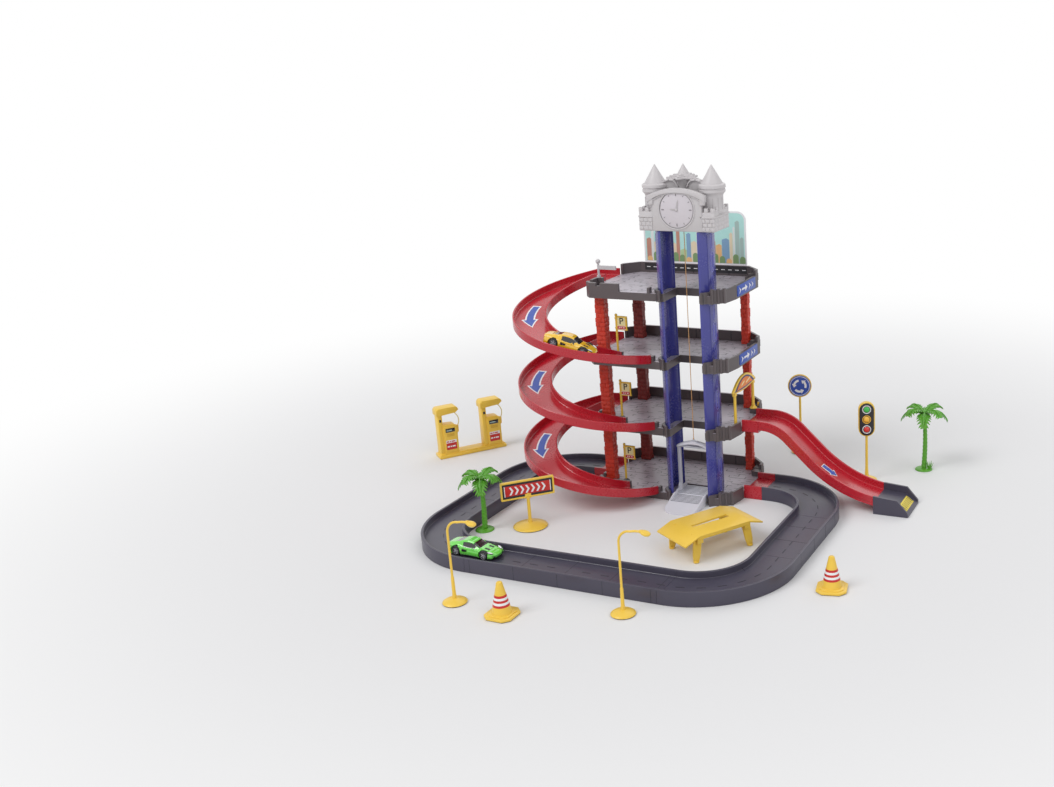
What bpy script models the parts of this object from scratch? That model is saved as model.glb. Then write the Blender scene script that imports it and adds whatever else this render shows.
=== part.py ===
"""Toy parking garage: three storeys and a roof deck round a lift, with ramps, a road loop and set pieces.

Metres, +Z up. The origin is under the middle of the ground deck, on the table.
+X runs to the right along the front of the garage and +Y to the back.
"""
import math

import bmesh
import bpy
from mathutils import Matrix, Vector

# Storeys and decks
STOREY = 0.090                 # height from one deck to the next
DECK_HALF_WIDTH = 0.100
DECK_HALF_DEPTH = 0.065
DECK_THICK = 0.010
FLOOR_SKIN = 0.003             # floor left over the pockets under a deck
REAR_CORNER = 0.019            # chamfer of both rear corners
FRONT_CORNER = 0.008
FRONT_RIGHT_RUN = 0.020        # the slanted front right corner, along X
FRONT_RIGHT_SPARE = 0.003      # straight edge between that corner and the road or slide
PARAPET_THICK = 0.003
REAR_PARAPET = 0.014           # heights above the floor
FRONT_PARAPET = 0.010
SIDE_PARAPET = 0.007
POST_BLOCK = 0.0055             # depth of the block that carries the ball post
SIDE_BAND = 0.0105             # width of the thick right edge beside the slide
GAP = 0.0003                   # clearance between neighbouring pieces

# Lift shaft and towers
LIFT_X = 0.03965
LIFT_Y = -0.0475               # the cord and the arch of the car
SHAFT_HALF = 0.0246
SHAFT_BACK = -0.0240
TOWER_DEPTH = 0.0384
TOWER_REACH = 0.0102           # from the open edge to the outer web
TOWER_CORNER = 0.0072
TOWER_WALL = 0.0020
TOWER_GAP_HALF = 0.02485       # from the lift's centre to a tower's open edge
TOWER_PANEL = 0.0006           # raised panel on the outer web
HEAD_STOREY = 0.080            # the last tower segments, from the top floor to the head
COLLAR = 0.0045                # collar wall round a tower's foot
COLLAR_RISE = 0.0045

# Spiral ramps
SPIRAL_CLEAR = 0.003           # from the deck's left edge out to the spiral's axis
RAMP_START_Y = 0.017           # where a ramp leaves the deck's left edge
SPIRAL_RADIUS = 0.074
RAMP_WIDTH = 0.0444
RAMP_KERB = 0.009
RAMP_WALL = 0.0022
RAMP_FLOOR = 0.0025
SPIRAL_STEPS = 30
LEVEL_START = 0.05             # share of the ramp's run that stays level at its top

# Road loop
ROAD_WIDTH = 0.054
ROAD_KERB_TOP = 0.018
ROAD_KERB = 0.0035
ROAD_WALL = 0.002
ROAD_SKIN = 0.002
CONNECTOR = 0.025
STRAIGHT = 0.125
REAR_STUB = 0.011
REAR_RADIUS = 0.080
REAR_END_STUB = 0.002
FRONT_STUB = 0.022
FRONT_RADIUS = 0.088
FRONT_SHORT_STUB = 0.003
CURVE_STEPS = 10

# Slide
SLIDE_KERB = 0.009
SLIDE_FLOOR = 0.0035
SLIDE_WALL = 0.003
SLIDE_LEVEL = 0.026            # level run before the crest
CREST_RADIUS = 0.049
SLIDE_ANGLE = math.radians(43.8)
SLIDE_STRAIGHT = 0.030         # along X
FOOT_RADIUS = 0.164
SLIDE_START_LENGTH = 0.023
SLIDE_END_FROM = 0.276
SLIDE_END_TO = 0.321
SLIDE_LIP = 0.014

# Head of the lift tower
HEAD_LEFT = -0.013
HEAD_RIGHT = 0.0893
HEAD_DEPTH = 0.0456
HEAD_BODY = 0.024
HEAD_WALL = 0.0035
HEAD_PARAPET = 0.005
CLOCK_RADIUS = 0.024
CLOCK_RISE = 0.027             # clock centre over the head's underside
GABLE_HALF = 0.0385
GABLE_SIDE = 0.044
GABLE_TOP = 0.053
TURRET_RADIUS = 0.0135
TURRET_RING = 0.0170
TURRET_TOP = 0.080             # tip of the cones over the head's underside
TURRET_Y = -0.043
EAVE_RISE = 0.0645             # star-shaped eave of the middle tower over the head's underside

# Lift
CAR_SIDE_GAP = 0.0011
CAR_FRONT = -0.0600
CAR_BACK = -0.0275
CAR_ARCH = 0.0645              # top of the arch's sides over the floor
CAR_ARCH_RISE = 0.0055
CAR_POST = 0.0040
CORD_RADIUS = 0.0007
DRUM_RADIUS = 0.0070
DRUM_FLANGE = 0.0095
DRUM_RISE = 0.0125             # drum axis over the head's underside
AXLE_RADIUS = 0.0022
CRANK_ARM = 0.016
RAMP_TONGUE = 0.0490

# Cars
CAR_LENGTH = 0.069
CAR_WIDTH = 0.029
WHEEL_RADIUS = 0.0060
WHEEL_WIDTH = 0.0045
WHEEL_CLEAR = 0.0011
AXLE_ROD = 0.0010
WHEELBASE = 0.040

# Worked out from the values above
FLOOR = [level * STOREY + DECK_THICK for level in range(4)]
HEAD_BASE = FLOOR[3] + HEAD_STOREY
DECK_FRONT = -DECK_HALF_DEPTH
FRONT_RIGHT_RISE = DECK_HALF_DEPTH - ROAD_WIDTH / 2 - FRONT_RIGHT_SPARE
TOWER_EDGE_LEFT = LIFT_X - TOWER_GAP_HALF
SPIRAL_X = -DECK_HALF_WIDTH - SPIRAL_CLEAR
SPIRAL_Y = RAMP_START_Y - SPIRAL_RADIUS
LOW_OPENING_LEFT = SPIRAL_X + SPIRAL_RADIUS - 0.0200    # the front opening where a spiral ramp arrives
LOW_OPENING_RIGHT = SPIRAL_X + SPIRAL_RADIUS + 0.0245
ROAD_JOINT_X = DECK_HALF_WIDTH + GAP / 2 + CONNECTOR
ROAD_SIDE_X = ROAD_JOINT_X + REAR_STUB + REAR_RADIUS
ROAD_REAR_END = -REAR_RADIUS - REAR_END_STUB
ROAD_FRONT_END = ROAD_REAR_END - STRAIGHT
ROAD_ARC_Y = ROAD_FRONT_END - FRONT_STUB
ROAD_FRONT_Y = ROAD_ARC_Y - FRONT_RADIUS
ROAD_ARC_X = ROAD_SIDE_X - FRONT_RADIUS

for old in list(bpy.data.objects):
    bpy.data.objects.remove(old, do_unlink=True)

parts = bpy.data.collections.new("toy_parking_garage")
cutters = bpy.data.collections.new("cutters")
bpy.context.scene.collection.children.link(parts)
bpy.context.scene.collection.children.link(cutters)

FINISHES = {
    "deck_brown": ((0.085, 0.072, 0.070), 0.45),
    "tower_blue": ((0.060, 0.060, 0.330), 0.30),
    "column_red": ((0.520, 0.060, 0.030), 0.45),
    "ramp_red": ((0.600, 0.020, 0.030), 0.25),
    "road_grey": ((0.075, 0.080, 0.110), 0.40),
    "head_grey": ((0.560, 0.550, 0.550), 0.45),
    "lift_grey": ((0.480, 0.490, 0.540), 0.35),
    "cord_orange": ((0.800, 0.420, 0.150), 0.80),
    "card_print": ((0.420, 0.720, 0.740), 0.50),
    "yellow": ((0.850, 0.560, 0.060), 0.35),
    "palm_green": ((0.060, 0.380, 0.060), 0.45),
    "car_yellow": ((0.900, 0.600, 0.030), 0.20),
    "car_green": ((0.150, 0.720, 0.080), 0.20),
    "wheel_black": ((0.030, 0.030, 0.032), 0.60),
}


def finish_material(name):
    """Returns the plastic or print of that name, made once."""
    material = bpy.data.materials.get(name)
    if material is None:
        colour, roughness = FINISHES[name]
        material = bpy.data.materials.new(name)
        material.use_nodes = True
        shader = material.node_tree.nodes["Principled BSDF"]
        shader.inputs["Base Color"].default_value = (*colour, 1)
        shader.inputs["Roughness"].default_value = roughness
        shader.inputs["Metallic"].default_value = 0
    return material


# Basic solids

def solid(name, bm):
    """Turns a bmesh into an object in the cutters' collection, where parts start their life."""
    mesh = bpy.data.meshes.new(name)
    bm.to_mesh(mesh)
    bm.free()
    piece = bpy.data.objects.new(name, mesh)
    cutters.objects.link(piece)
    return piece


def box(low, high):
    centre = [(a + b) / 2 for a, b in zip(low, high)]
    size = [b - a for a, b in zip(low, high)]
    bm = bmesh.new()
    bmesh.ops.create_cube(bm, size=1, matrix=Matrix.Translation(centre) @ Matrix.Diagonal((*size, 1)))
    return solid("box", bm)


def rod(start, end, radius, end_radius=None, sides=12):
    """A cylinder or a cone frustum between two points."""
    start, end = Vector(start), Vector(end)
    along = end - start
    place = Matrix.Translation((start + end) / 2) @ along.to_track_quat("Z", "X").to_matrix().to_4x4()
    bm = bmesh.new()
    bmesh.ops.create_cone(
        bm, cap_ends=True, segments=sides, radius1=radius,
        radius2=radius if end_radius is None else end_radius, depth=along.length, matrix=place)
    return solid("rod", bm)


def ball(centre, radius, across=10, rings=6):
    bm = bmesh.new()
    bmesh.ops.create_uvsphere(
        bm, u_segments=across, v_segments=rings, radius=radius, matrix=Matrix.Translation(centre))
    return solid("ball", bm)


def meshed(source):
    """Replaces a curve by its closed mesh, in the same place."""
    bpy.context.view_layer.update()
    mesh = bpy.data.meshes.new_from_object(source.evaluated_get(bpy.context.evaluated_depsgraph_get()))
    bm = bmesh.new()
    bm.from_mesh(mesh)
    bmesh.ops.remove_doubles(bm, verts=bm.verts, dist=0.000001)
    bmesh.ops.transform(bm, matrix=source.matrix_world, verts=bm.verts)
    bmesh.ops.recalc_face_normals(bm, faces=bm.faces)
    materials = [material for material in mesh.materials if material]
    bpy.data.meshes.remove(mesh)
    bpy.data.objects.remove(source, do_unlink=True)
    piece = solid("meshed", bm)
    for material in materials:
        piece.data.materials.append(material)
    return piece


def outline_curve(outlines):
    curve = bpy.data.curves.new("outline", "CURVE")
    curve.dimensions = "2D"
    for outline in outlines:
        spline = curve.splines.new("POLY")
        spline.points.add(len(outline) - 1)
        for point, (u, v) in zip(spline.points, outline):
            point.co = (u, v, 0, 1)
        spline.use_cyclic_u = True
    return curve


def prism(outline, low, high, axis="Z", holes=()):
    """A flat outline made thick: (x, y) along Z, (x, z) along Y, or (y, z) along X."""
    curve = outline_curve([outline, *holes])
    curve.fill_mode = "BOTH"
    curve.extrude = (high - low) / 2
    piece = bpy.data.objects.new("prism", curve)
    cutters.objects.link(piece)
    middle = (low + high) / 2
    if axis == "Z":
        piece.matrix_world = Matrix.Translation((0, 0, middle))
    elif axis == "Y":
        piece.matrix_world = Matrix.Translation((0, middle, 0)) @ Matrix.Rotation(math.pi / 2, 4, "X")
    else:
        columns = Matrix(((0, 0, 1), (1, 0, 0), (0, 1, 0))).to_4x4()
        piece.matrix_world = Matrix.Translation((middle, 0, 0)) @ columns
    return meshed(piece)


def swept(section, path):
    """A closed section (sideways, up) carried along a path with its up side kept up."""
    profile = bpy.data.objects.new("section", outline_curve([section]))
    cutters.objects.link(profile)
    curve = bpy.data.curves.new("path", "CURVE")
    curve.dimensions = "3D"
    curve.twist_mode = "Z_UP"
    curve.bevel_mode = "OBJECT"
    curve.bevel_object = profile
    curve.use_fill_caps = True
    spline = curve.splines.new("POLY")
    spline.points.add(len(path) - 1)
    for point, place in zip(spline.points, path):
        point.co = (*place, 1)
    piece = bpy.data.objects.new("swept", curve)
    cutters.objects.link(piece)
    piece = meshed(piece)
    bpy.data.objects.remove(profile, do_unlink=True)
    return piece


def tube(path, radius, resolution=1):
    curve = bpy.data.curves.new("tube", "CURVE")
    curve.dimensions = "3D"
    curve.bevel_depth = radius
    curve.bevel_resolution = resolution
    curve.use_fill_caps = True
    spline = curve.splines.new("POLY")
    spline.points.add(len(path) - 1)
    for point, place in zip(spline.points, path):
        point.co = (*place, 1)
    piece = bpy.data.objects.new("tube", curve)
    cutters.objects.link(piece)
    return meshed(piece)


def turned(profile, centre, steps=12):
    """A profile of (radius, z), from its top down its outer side, turned about a vertical axis."""
    bm = bmesh.new()
    corners = [bm.verts.new((radius, 0, z)) for radius, z in profile]
    for first, second in zip(corners, corners[1:]):
        bm.edges.new((first, second))
    piece = solid("turned", bm)
    screw = piece.modifiers.new("Turn", "SCREW")
    screw.steps = steps
    screw.render_steps = steps
    screw.use_merge_vertices = True
    screw.merge_threshold = 0.00001
    piece.matrix_world = Matrix.Translation(centre)
    return meshed(piece)


def combined(base, others, operation="UNION"):
    """Joins or cuts a piece with others, which are used up."""
    others = list(others)
    if not others:
        return base
    group = bpy.data.collections.new("operands")
    for other in others:
        group.objects.link(other)
    modifier = base.modifiers.new("Join", "BOOLEAN")
    modifier.operation = operation
    modifier.operand_type = "COLLECTION"
    modifier.collection = group
    modifier.solver = "EXACT"
    modifier.material_mode = "TRANSFER"
    result = meshed(base)
    for other in others:
        bpy.data.objects.remove(other, do_unlink=True)
    bpy.data.collections.remove(group)
    return result


def union(pieces):
    first, *rest = pieces
    return combined(first, rest)


def cut(piece, tools):
    return combined(piece, tools, "DIFFERENCE")


def painted(piece, finish):
    """Gives a piece its finish before it is joined to one of another finish."""
    piece.data.materials.clear()
    piece.data.materials.append(finish_material(finish))
    return piece


def moved(piece, matrix):
    piece.data.transform(matrix)
    return piece


def placed(piece, x, y, z=0, turn=0):
    """Moves a piece modelled at the origin to its place, turned about Z."""
    return moved(piece, Matrix.Translation((x, y, z)) @ Matrix.Rotation(math.radians(turn), 4, "Z"))


def part(name, piece, finish, pivot=None):
    """Names a finished piece, moves it to the model's collection and hangs it on its joint's empty."""
    piece.name = name
    piece.data.name = name
    cutters.objects.unlink(piece)
    parts.objects.link(piece)
    if not piece.data.materials:
        painted(piece, finish)
    piece.data.shade_smooth()
    piece.data.set_sharp_from_angle(angle=math.radians(32))
    if pivot is not None:
        piece.parent = pivot
        piece.matrix_parent_inverse = pivot.matrix_world.inverted()
    return piece


def joint_empty(name, place):
    empty = bpy.data.objects.new(name, None)
    empty.location = place
    empty.empty_display_size = 0.01
    parts.objects.link(empty)
    bpy.context.view_layer.update()
    return empty


def arc(x, y, radius, start, end, steps):
    """Points along an arc, with both angles in degrees."""
    points = []
    for step in range(steps + 1):
        angle = math.radians(start + (end - start) * step / steps)
        points.append((x + radius * math.cos(angle), y + radius * math.sin(angle)))
    return points


def mirrored(outline):
    """The same outline on the other side of the lift."""
    return [(2 * LIFT_X - x, y) for x, y in reversed(outline)]


# Towers

def tower_outside(edge, grow):
    """Outer half octagon of the left tower, from its front open edge to its rear one."""
    front = DECK_FRONT - grow
    back = DECK_FRONT + TOWER_DEPTH + grow
    web = TOWER_EDGE_LEFT - TOWER_REACH - grow
    slant = TOWER_CORNER + grow * (2 - math.sqrt(2))
    return [
        (edge, front), (web + slant, front), (web, front + slant),
        (web, back - slant), (web + slant, back), (edge, back)]


def tower_outline():
    outside = tower_outside(TOWER_EDGE_LEFT, 0)
    inside = tower_outside(TOWER_EDGE_LEFT, -TOWER_WALL)
    web = outside[2][0]
    low = outside[2][1] + TOWER_CORNER
    high = outside[3][1] - TOWER_CORNER
    panel = [
        (web, low - TOWER_PANEL), (web - TOWER_PANEL, low),
        (web - TOWER_PANEL, high), (web, high + TOWER_PANEL)]
    return outside[:3] + panel + outside[3:] + inside[::-1]


def make_towers():
    for level in range(4):
        low = FLOOR[level] + GAP
        high = (HEAD_BASE if level == 3 else (level + 1) * STOREY) - GAP
        part(f"tower_left_{level + 1}", prism(tower_outline(), low, high), "tower_blue")
        part(f"tower_right_{level + 1}", prism(mirrored(tower_outline()), low, high), "tower_blue")


# Decks

def deck_outline():
    right_front = DECK_HALF_WIDTH - FRONT_RIGHT_RUN
    shaft_left = LIFT_X - SHAFT_HALF
    shaft_right = LIFT_X + SHAFT_HALF
    return [
        (-DECK_HALF_WIDTH, DECK_FRONT + FRONT_CORNER), (-DECK_HALF_WIDTH + FRONT_CORNER, DECK_FRONT),
        (shaft_left, DECK_FRONT), (shaft_left, SHAFT_BACK),
        (shaft_right, SHAFT_BACK), (shaft_right, DECK_FRONT), (right_front, DECK_FRONT),
        (DECK_HALF_WIDTH - FRONT_CORNER / 2, DECK_FRONT + FRONT_RIGHT_RISE / 3),
        (DECK_HALF_WIDTH, DECK_FRONT + FRONT_RIGHT_RISE),
        (DECK_HALF_WIDTH, DECK_HALF_DEPTH - REAR_CORNER), (DECK_HALF_WIDTH - REAR_CORNER, DECK_HALF_DEPTH),
        (-DECK_HALF_WIDTH + REAR_CORNER, DECK_HALF_DEPTH), (-DECK_HALF_WIDTH, DECK_HALF_DEPTH - REAR_CORNER)]


def band(points, thick):
    """An outline that follows a line of points on its left side, at the same thickness."""
    inner = []
    for index, point in enumerate(points):
        here = Vector(point)
        before = Vector(points[index - 1]) if index else None
        after = Vector(points[index + 1]) if index + 1 < len(points) else None
        normals = []
        for first, second in ((before, here), (here, after)):
            if first is not None and second is not None:
                along = (second - first).normalized()
                normals.append(Vector((-along.y, along.x)))
        side = sum(normals, Vector((0, 0)))
        side.normalize()
        inner.append(tuple(here + side * (thick / side.dot(normals[0]))))
    return list(points) + inner[::-1]


def collar_outline():
    """Collar round the front and outer side of the left tower's foot."""
    outside = tower_outside(TOWER_EDGE_LEFT - 2 * CAR_POST / 3 - GAP, COLLAR)
    front, front_corner, web_corner = outside[:3]
    side = (web_corner[0], DECK_FRONT + TOWER_DEPTH / 2)
    inner = (side[0] + 2 * COLLAR, side[1])
    return [front, front_corner, web_corner, side, inner, (front[0], DECK_FRONT + COLLAR)]


def deck_pockets(base):
    rib = 0.003
    rim = 0.004
    column_pad = 0.030
    left, right = -DECK_HALF_WIDTH, DECK_HALF_WIDTH
    back = DECK_HALF_DEPTH - rim
    tower_side = TOWER_EDGE_LEFT - TOWER_REACH - 2 * COLLAR
    rows = [
        (left + column_pad, rib, -rib, back),
        (rib, rib, right - column_pad, back),
        (left + column_pad, DECK_FRONT + rim, min(-rib, tower_side), -rib),
        (rib, SHAFT_BACK + rib, right - column_pad / 2, -rib),
        (left + rim, -column_pad, left + column_pad - rim, back - column_pad / 2),
        (right - column_pad + rim, rib, right - rim, back - column_pad / 2)]
    top = base + DECK_THICK - FLOOR_SKIN
    return [box((x0, y0, base - DECK_THICK), (x1, y1, top)) for x0, y0, x1, y1 in rows]


def battlement(base, level):
    """Front left parapet with two gaps in its top, and the block that a post stands on."""
    floor = base + DECK_THICK
    left = -DECK_HALF_WIDTH
    back = post_back()
    line = [
        (left, back), (left, DECK_FRONT + FRONT_CORNER),
        (left + FRONT_CORNER, DECK_FRONT), (LOW_OPENING_LEFT, DECK_FRONT)]
    wall = prism(band(line, PARAPET_THICK + 0.001), floor - 0.001, floor + FRONT_PARAPET)
    block = box((left, back - POST_BLOCK, floor - 0.001),
                (left + 2 * POST_BLOCK, back, floor + FRONT_PARAPET))
    notch = 0.006
    depth = 0.004
    tools = [
        box((left - 0.001, DECK_FRONT + 2 * notch, floor + FRONT_PARAPET - depth),
            (left + notch, DECK_FRONT + 3 * notch, floor + FRONT_PARAPET + depth)),
        box((left + 3 * notch, DECK_FRONT - 0.001, floor + FRONT_PARAPET - depth),
            (left + 4 * notch, DECK_FRONT + notch, floor + FRONT_PARAPET + depth))]
    return cut(union([wall, block]), tools)


def post_back():
    """Rear end of the front left battlement, in front of the widest opening beside it."""
    return -ROAD_WIDTH / 2 - 0.001


def beams(base):
    """Upright beams on the slanted front right corner."""
    floor = base + DECK_THICK
    start = Vector((DECK_HALF_WIDTH - FRONT_RIGHT_RUN, DECK_FRONT))
    end = Vector((DECK_HALF_WIDTH - FRONT_CORNER / 2, DECK_FRONT + FRONT_RIGHT_RISE / 3))
    pieces = []
    for share in (0.1, 0.5, 0.9):
        x, y = start.lerp(end, share)
        pieces.append(rod((x, y, base), (x, y, floor + SIDE_PARAPET + 0.002), 0.0022, sides=6))
    return pieces


def make_deck(name, level):
    base = level * STOREY
    floor = base + DECK_THICK
    left, right, back = -DECK_HALF_WIDTH, DECK_HALF_WIDTH, DECK_HALF_DEPTH
    deck = cut(prism(deck_outline(), base, floor), deck_pockets(base))

    ramp_half = RAMP_WIDTH / 2 + GAP
    road_half = ROAD_WIDTH / 2 + GAP
    ramp_y = SPIRAL_Y + SPIRAL_RADIUS
    left_opening_back = road_half if level == 0 else ramp_y + ramp_half
    rear_line = [
        (right, max(road_half, back - REAR_CORNER - 0.008)), (right, back - REAR_CORNER),
        (right - REAR_CORNER, back), (left + REAR_CORNER, back), (left, back - REAR_CORNER),
        (left, left_opening_back + 0.001)]
    rear = prism(band(rear_line, PARAPET_THICK), floor - 0.001, floor + REAR_PARAPET)
    front_right = [
        (right - FRONT_RIGHT_RUN, DECK_FRONT), (right - FRONT_CORNER / 2, DECK_FRONT + FRONT_RIGHT_RISE / 3),
        (right, DECK_FRONT + FRONT_RIGHT_RISE), (right, -road_half - 0.001)]
    corner = prism(band(front_right, PARAPET_THICK), floor - 0.001, floor + SIDE_PARAPET)
    pieces = [rear, battlement(base, level), corner, *beams(base)]
    if level >= 2:
        pieces.append(box((right - PARAPET_THICK, -road_half - 0.002, floor - 0.001),
                          (right, back - REAR_CORNER, floor + SIDE_PARAPET)))
    else:
        pieces.append(box((right - SIDE_BAND, road_half + 0.0005, floor - 0.001),
                          (right - 0.0005, back - REAR_CORNER, floor + SIDE_PARAPET)))
    step = 0.004
    for count in (1, 2):
        pieces.append(box((right - 0.008 - (3 - count) * step, back - REAR_CORNER - 0.006, floor - 0.001),
                          (right - 0.001, back - REAR_CORNER + 0.004, floor + count * step)))
    collar_top = floor + COLLAR_RISE
    pieces.append(prism(collar_outline(), base, collar_top))
    pieces.append(prism(mirrored(collar_outline()), base, collar_top))
    clip_left = LOW_OPENING_RIGHT - 0.0035
    pieces.append(box((clip_left, DECK_FRONT, floor - 0.001),
                      (LOW_OPENING_RIGHT, DECK_FRONT + 0.007, floor + SIDE_PARAPET)))
    deck = combined(deck, pieces)
    foot = tower_outside(LIFT_X, GAP + TOWER_PANEL)
    tools = [prism(foot, floor, collar_top + 0.001), prism(mirrored(foot), floor, collar_top + 0.001)]
    deck = painted(cut(deck, tools), "deck_brown")
    if level < 3:
        deck = combined(deck, [painted(parking_sign(level), "yellow")])
    if level == 1:
        deck = combined(deck, [painted(arch_sign(), "yellow")])
    if level == 3:
        deck = combined(deck, [painted(ball_post(), "lift_grey")])
    part(name, deck, "deck_brown")


# Columns

def brick_column(x, y, half_x, half_y, low, high, courses=6):
    """A square column whose courses stand out and in by turns."""
    profile = []
    for course in range(courses):
        top = high - (high - low) * course / courses
        bottom = high - (high - low) * (course + 1) / courses
        out = math.sqrt(2) * (1 - 0.10 * (course % 2) - 0.04 * (course % 3))
        profile += [(out, top), (out, bottom)]
    profile = [(0, high), *profile, (0, low)]
    column = turned(profile, (0, 0, 0), steps=4)
    shape = Matrix.Diagonal((half_x, half_y, 1, 1)) @ Matrix.Rotation(math.pi / 4, 4, "Z")
    return moved(column, Matrix.Translation((x, y, 0)) @ shape)


def make_columns():
    for level in range(3):
        low, high = FLOOR[level] + GAP, (level + 1) * STOREY - GAP
        left, right, back = -DECK_HALF_WIDTH, DECK_HALF_WIDTH, DECK_HALF_DEPTH
        columns = {
            "front_left": brick_column(left + 0.0115, DECK_FRONT + 0.0240, 0.0070, 0.0070, low, high),
            "rear_left": brick_column(left + 0.0205, back - 0.0170, 0.0075, 0.0055, low, high),
            "rear_right": brick_column(right - 0.0220, back - 0.0130, 0.0055, 0.0050, low, high)}
        for corner, column in columns.items():
            part(f"column_{corner}_{level + 1}", column, "column_red")


# Ramps, roads and slide

def channel(width, wall, kerb, skin):
    """Section of a ramp: a floor between two kerbs, with its running face at height 0."""
    half = width / 2
    return [
        (-half, -skin), (half, -skin), (half, kerb), (half - wall, kerb),
        (half - wall, 0), (-half + wall, 0), (-half + wall, kerb), (-half, kerb)]


def spiral_place(share, top):
    """Point on the ramp's centre line, from its top at the deck's left edge to its foot at the front."""
    angle = math.radians(90 + 272 * share)
    fall = STOREY * min(max((share - LEVEL_START) / (1 - LEVEL_START - 0.03), 0), 1)
    x = SPIRAL_X + SPIRAL_RADIUS * math.cos(angle)
    y = SPIRAL_Y + SPIRAL_RADIUS * math.sin(angle)
    return (x, y, top - fall)


def make_spirals():
    section = channel(RAMP_WIDTH, RAMP_WALL, RAMP_KERB, RAMP_FLOOR)
    edge = -DECK_HALF_WIDTH - GAP
    for level, name in ((1, "spiral_ramp_lower"), (2, "spiral_ramp_middle"), (3, "spiral_ramp_upper")):
        top = FLOOR[level]
        start = (edge, SPIRAL_Y + SPIRAL_RADIUS, top)
        path = [start] + [spiral_place(step / SPIRAL_STEPS, top) for step in range(SPIRAL_STEPS + 1)]
        ramp = swept(section, path)
        reach = 2 * SPIRAL_RADIUS
        beyond = box((-DECK_HALF_WIDTH + FRONT_CORNER, DECK_FRONT - GAP, top - STOREY - reach),
                     (reach, reach, top - STOREY + reach))
        part(name, cut(ramp, [beyond]), "ramp_red")


def road_section():
    half = ROAD_WIDTH / 2
    lane = DECK_THICK
    return [
        (-half, 0), (-half + ROAD_WALL, 0), (-half + ROAD_WALL, lane - ROAD_SKIN),
        (half - ROAD_WALL, lane - ROAD_SKIN), (half - ROAD_WALL, 0), (half, 0),
        (half, ROAD_KERB_TOP), (half - ROAD_KERB, ROAD_KERB_TOP), (half - ROAD_KERB, lane),
        (-half + ROAD_KERB, lane), (-half + ROAD_KERB, ROAD_KERB_TOP), (-half, ROAD_KERB_TOP)]


def road(name, path, finish="road_grey"):
    """One road piece; both its ends stop half a gap short of the joint."""
    first, second = Vector((*path[0], 0)), Vector((*path[1], 0))
    last, before = Vector((*path[-1], 0)), Vector((*path[-2], 0))
    start = first + (second - first).normalized() * GAP / 2
    end = last + (before - last).normalized() * GAP / 2
    middle = [Vector((*point, 0)) for point in path[1:-1]]
    part(name, swept(road_section(), [start, *middle, end]), finish)


def flipped(path):
    return [(-x, y) for x, y in path]


def make_roads():
    connector = [(DECK_HALF_WIDTH + GAP / 2, 0), (ROAD_JOINT_X, 0)]
    rear_curve = [(ROAD_JOINT_X, 0)]
    rear_curve += arc(ROAD_JOINT_X + REAR_STUB, -REAR_RADIUS, REAR_RADIUS, 90, 0, CURVE_STEPS)
    rear_curve += [(ROAD_SIDE_X, ROAD_REAR_END)]
    side = [(ROAD_SIDE_X, ROAD_REAR_END), (ROAD_SIDE_X, ROAD_FRONT_END)]
    front_curve = [(ROAD_SIDE_X, ROAD_FRONT_END)]
    front_curve += arc(ROAD_ARC_X, ROAD_ARC_Y, FRONT_RADIUS, 0, -90, CURVE_STEPS)
    front_curve += [(ROAD_ARC_X - FRONT_SHORT_STUB, ROAD_FRONT_Y)]
    front_straight = [(ROAD_ARC_X - FRONT_SHORT_STUB, ROAD_FRONT_Y), (0, ROAD_FRONT_Y)]
    for hand, turn in (("right", list), ("left", flipped)):
        road(f"road_connector_{hand}", turn(connector), "ramp_red")
        road(f"road_rear_curve_{hand}", turn(rear_curve))
        road(f"road_side_straight_{hand}", turn(side))
        road(f"road_front_curve_{hand}", turn(front_curve))
        road(f"road_front_straight_{hand}", turn(front_straight))


def slide_line():
    """Running line of the slide in (x, z): level, crest arc, straight fall and a long foot arc."""
    x, z = DECK_HALF_WIDTH + SLIDE_LEVEL, FLOOR[1]
    points = [(DECK_HALF_WIDTH + GAP, z)]
    steps = 6
    for step in range(steps + 1):
        angle = SLIDE_ANGLE * step / steps
        points.append((x + CREST_RADIUS * math.sin(angle), z - CREST_RADIUS * (1 - math.cos(angle))))
    x, z = points[-1]
    x, z = x + SLIDE_STRAIGHT, z - SLIDE_STRAIGHT * math.tan(SLIDE_ANGLE)
    for step in range(steps + 1):
        angle = SLIDE_ANGLE * (1 - step / steps)
        points.append((
            x + FOOT_RADIUS * (math.sin(SLIDE_ANGLE) - math.sin(angle)),
            z - FOOT_RADIUS * (math.cos(angle) - math.cos(SLIDE_ANGLE))))
    return points


def line_between(points, start, end):
    """The stretch of a line of (x, z) points from one x to another."""
    def height(x):
        for (x0, z0), (x1, z1) in zip(points, points[1:]):
            if x0 <= x <= x1:
                return z0 + (z1 - z0) * (x - x0) / (x1 - x0)
        return points[-1][1]

    inner = [(x, z) for x, z in points if start < x < end]
    return [(start, height(start)), *inner, (end, height(end))]


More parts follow.
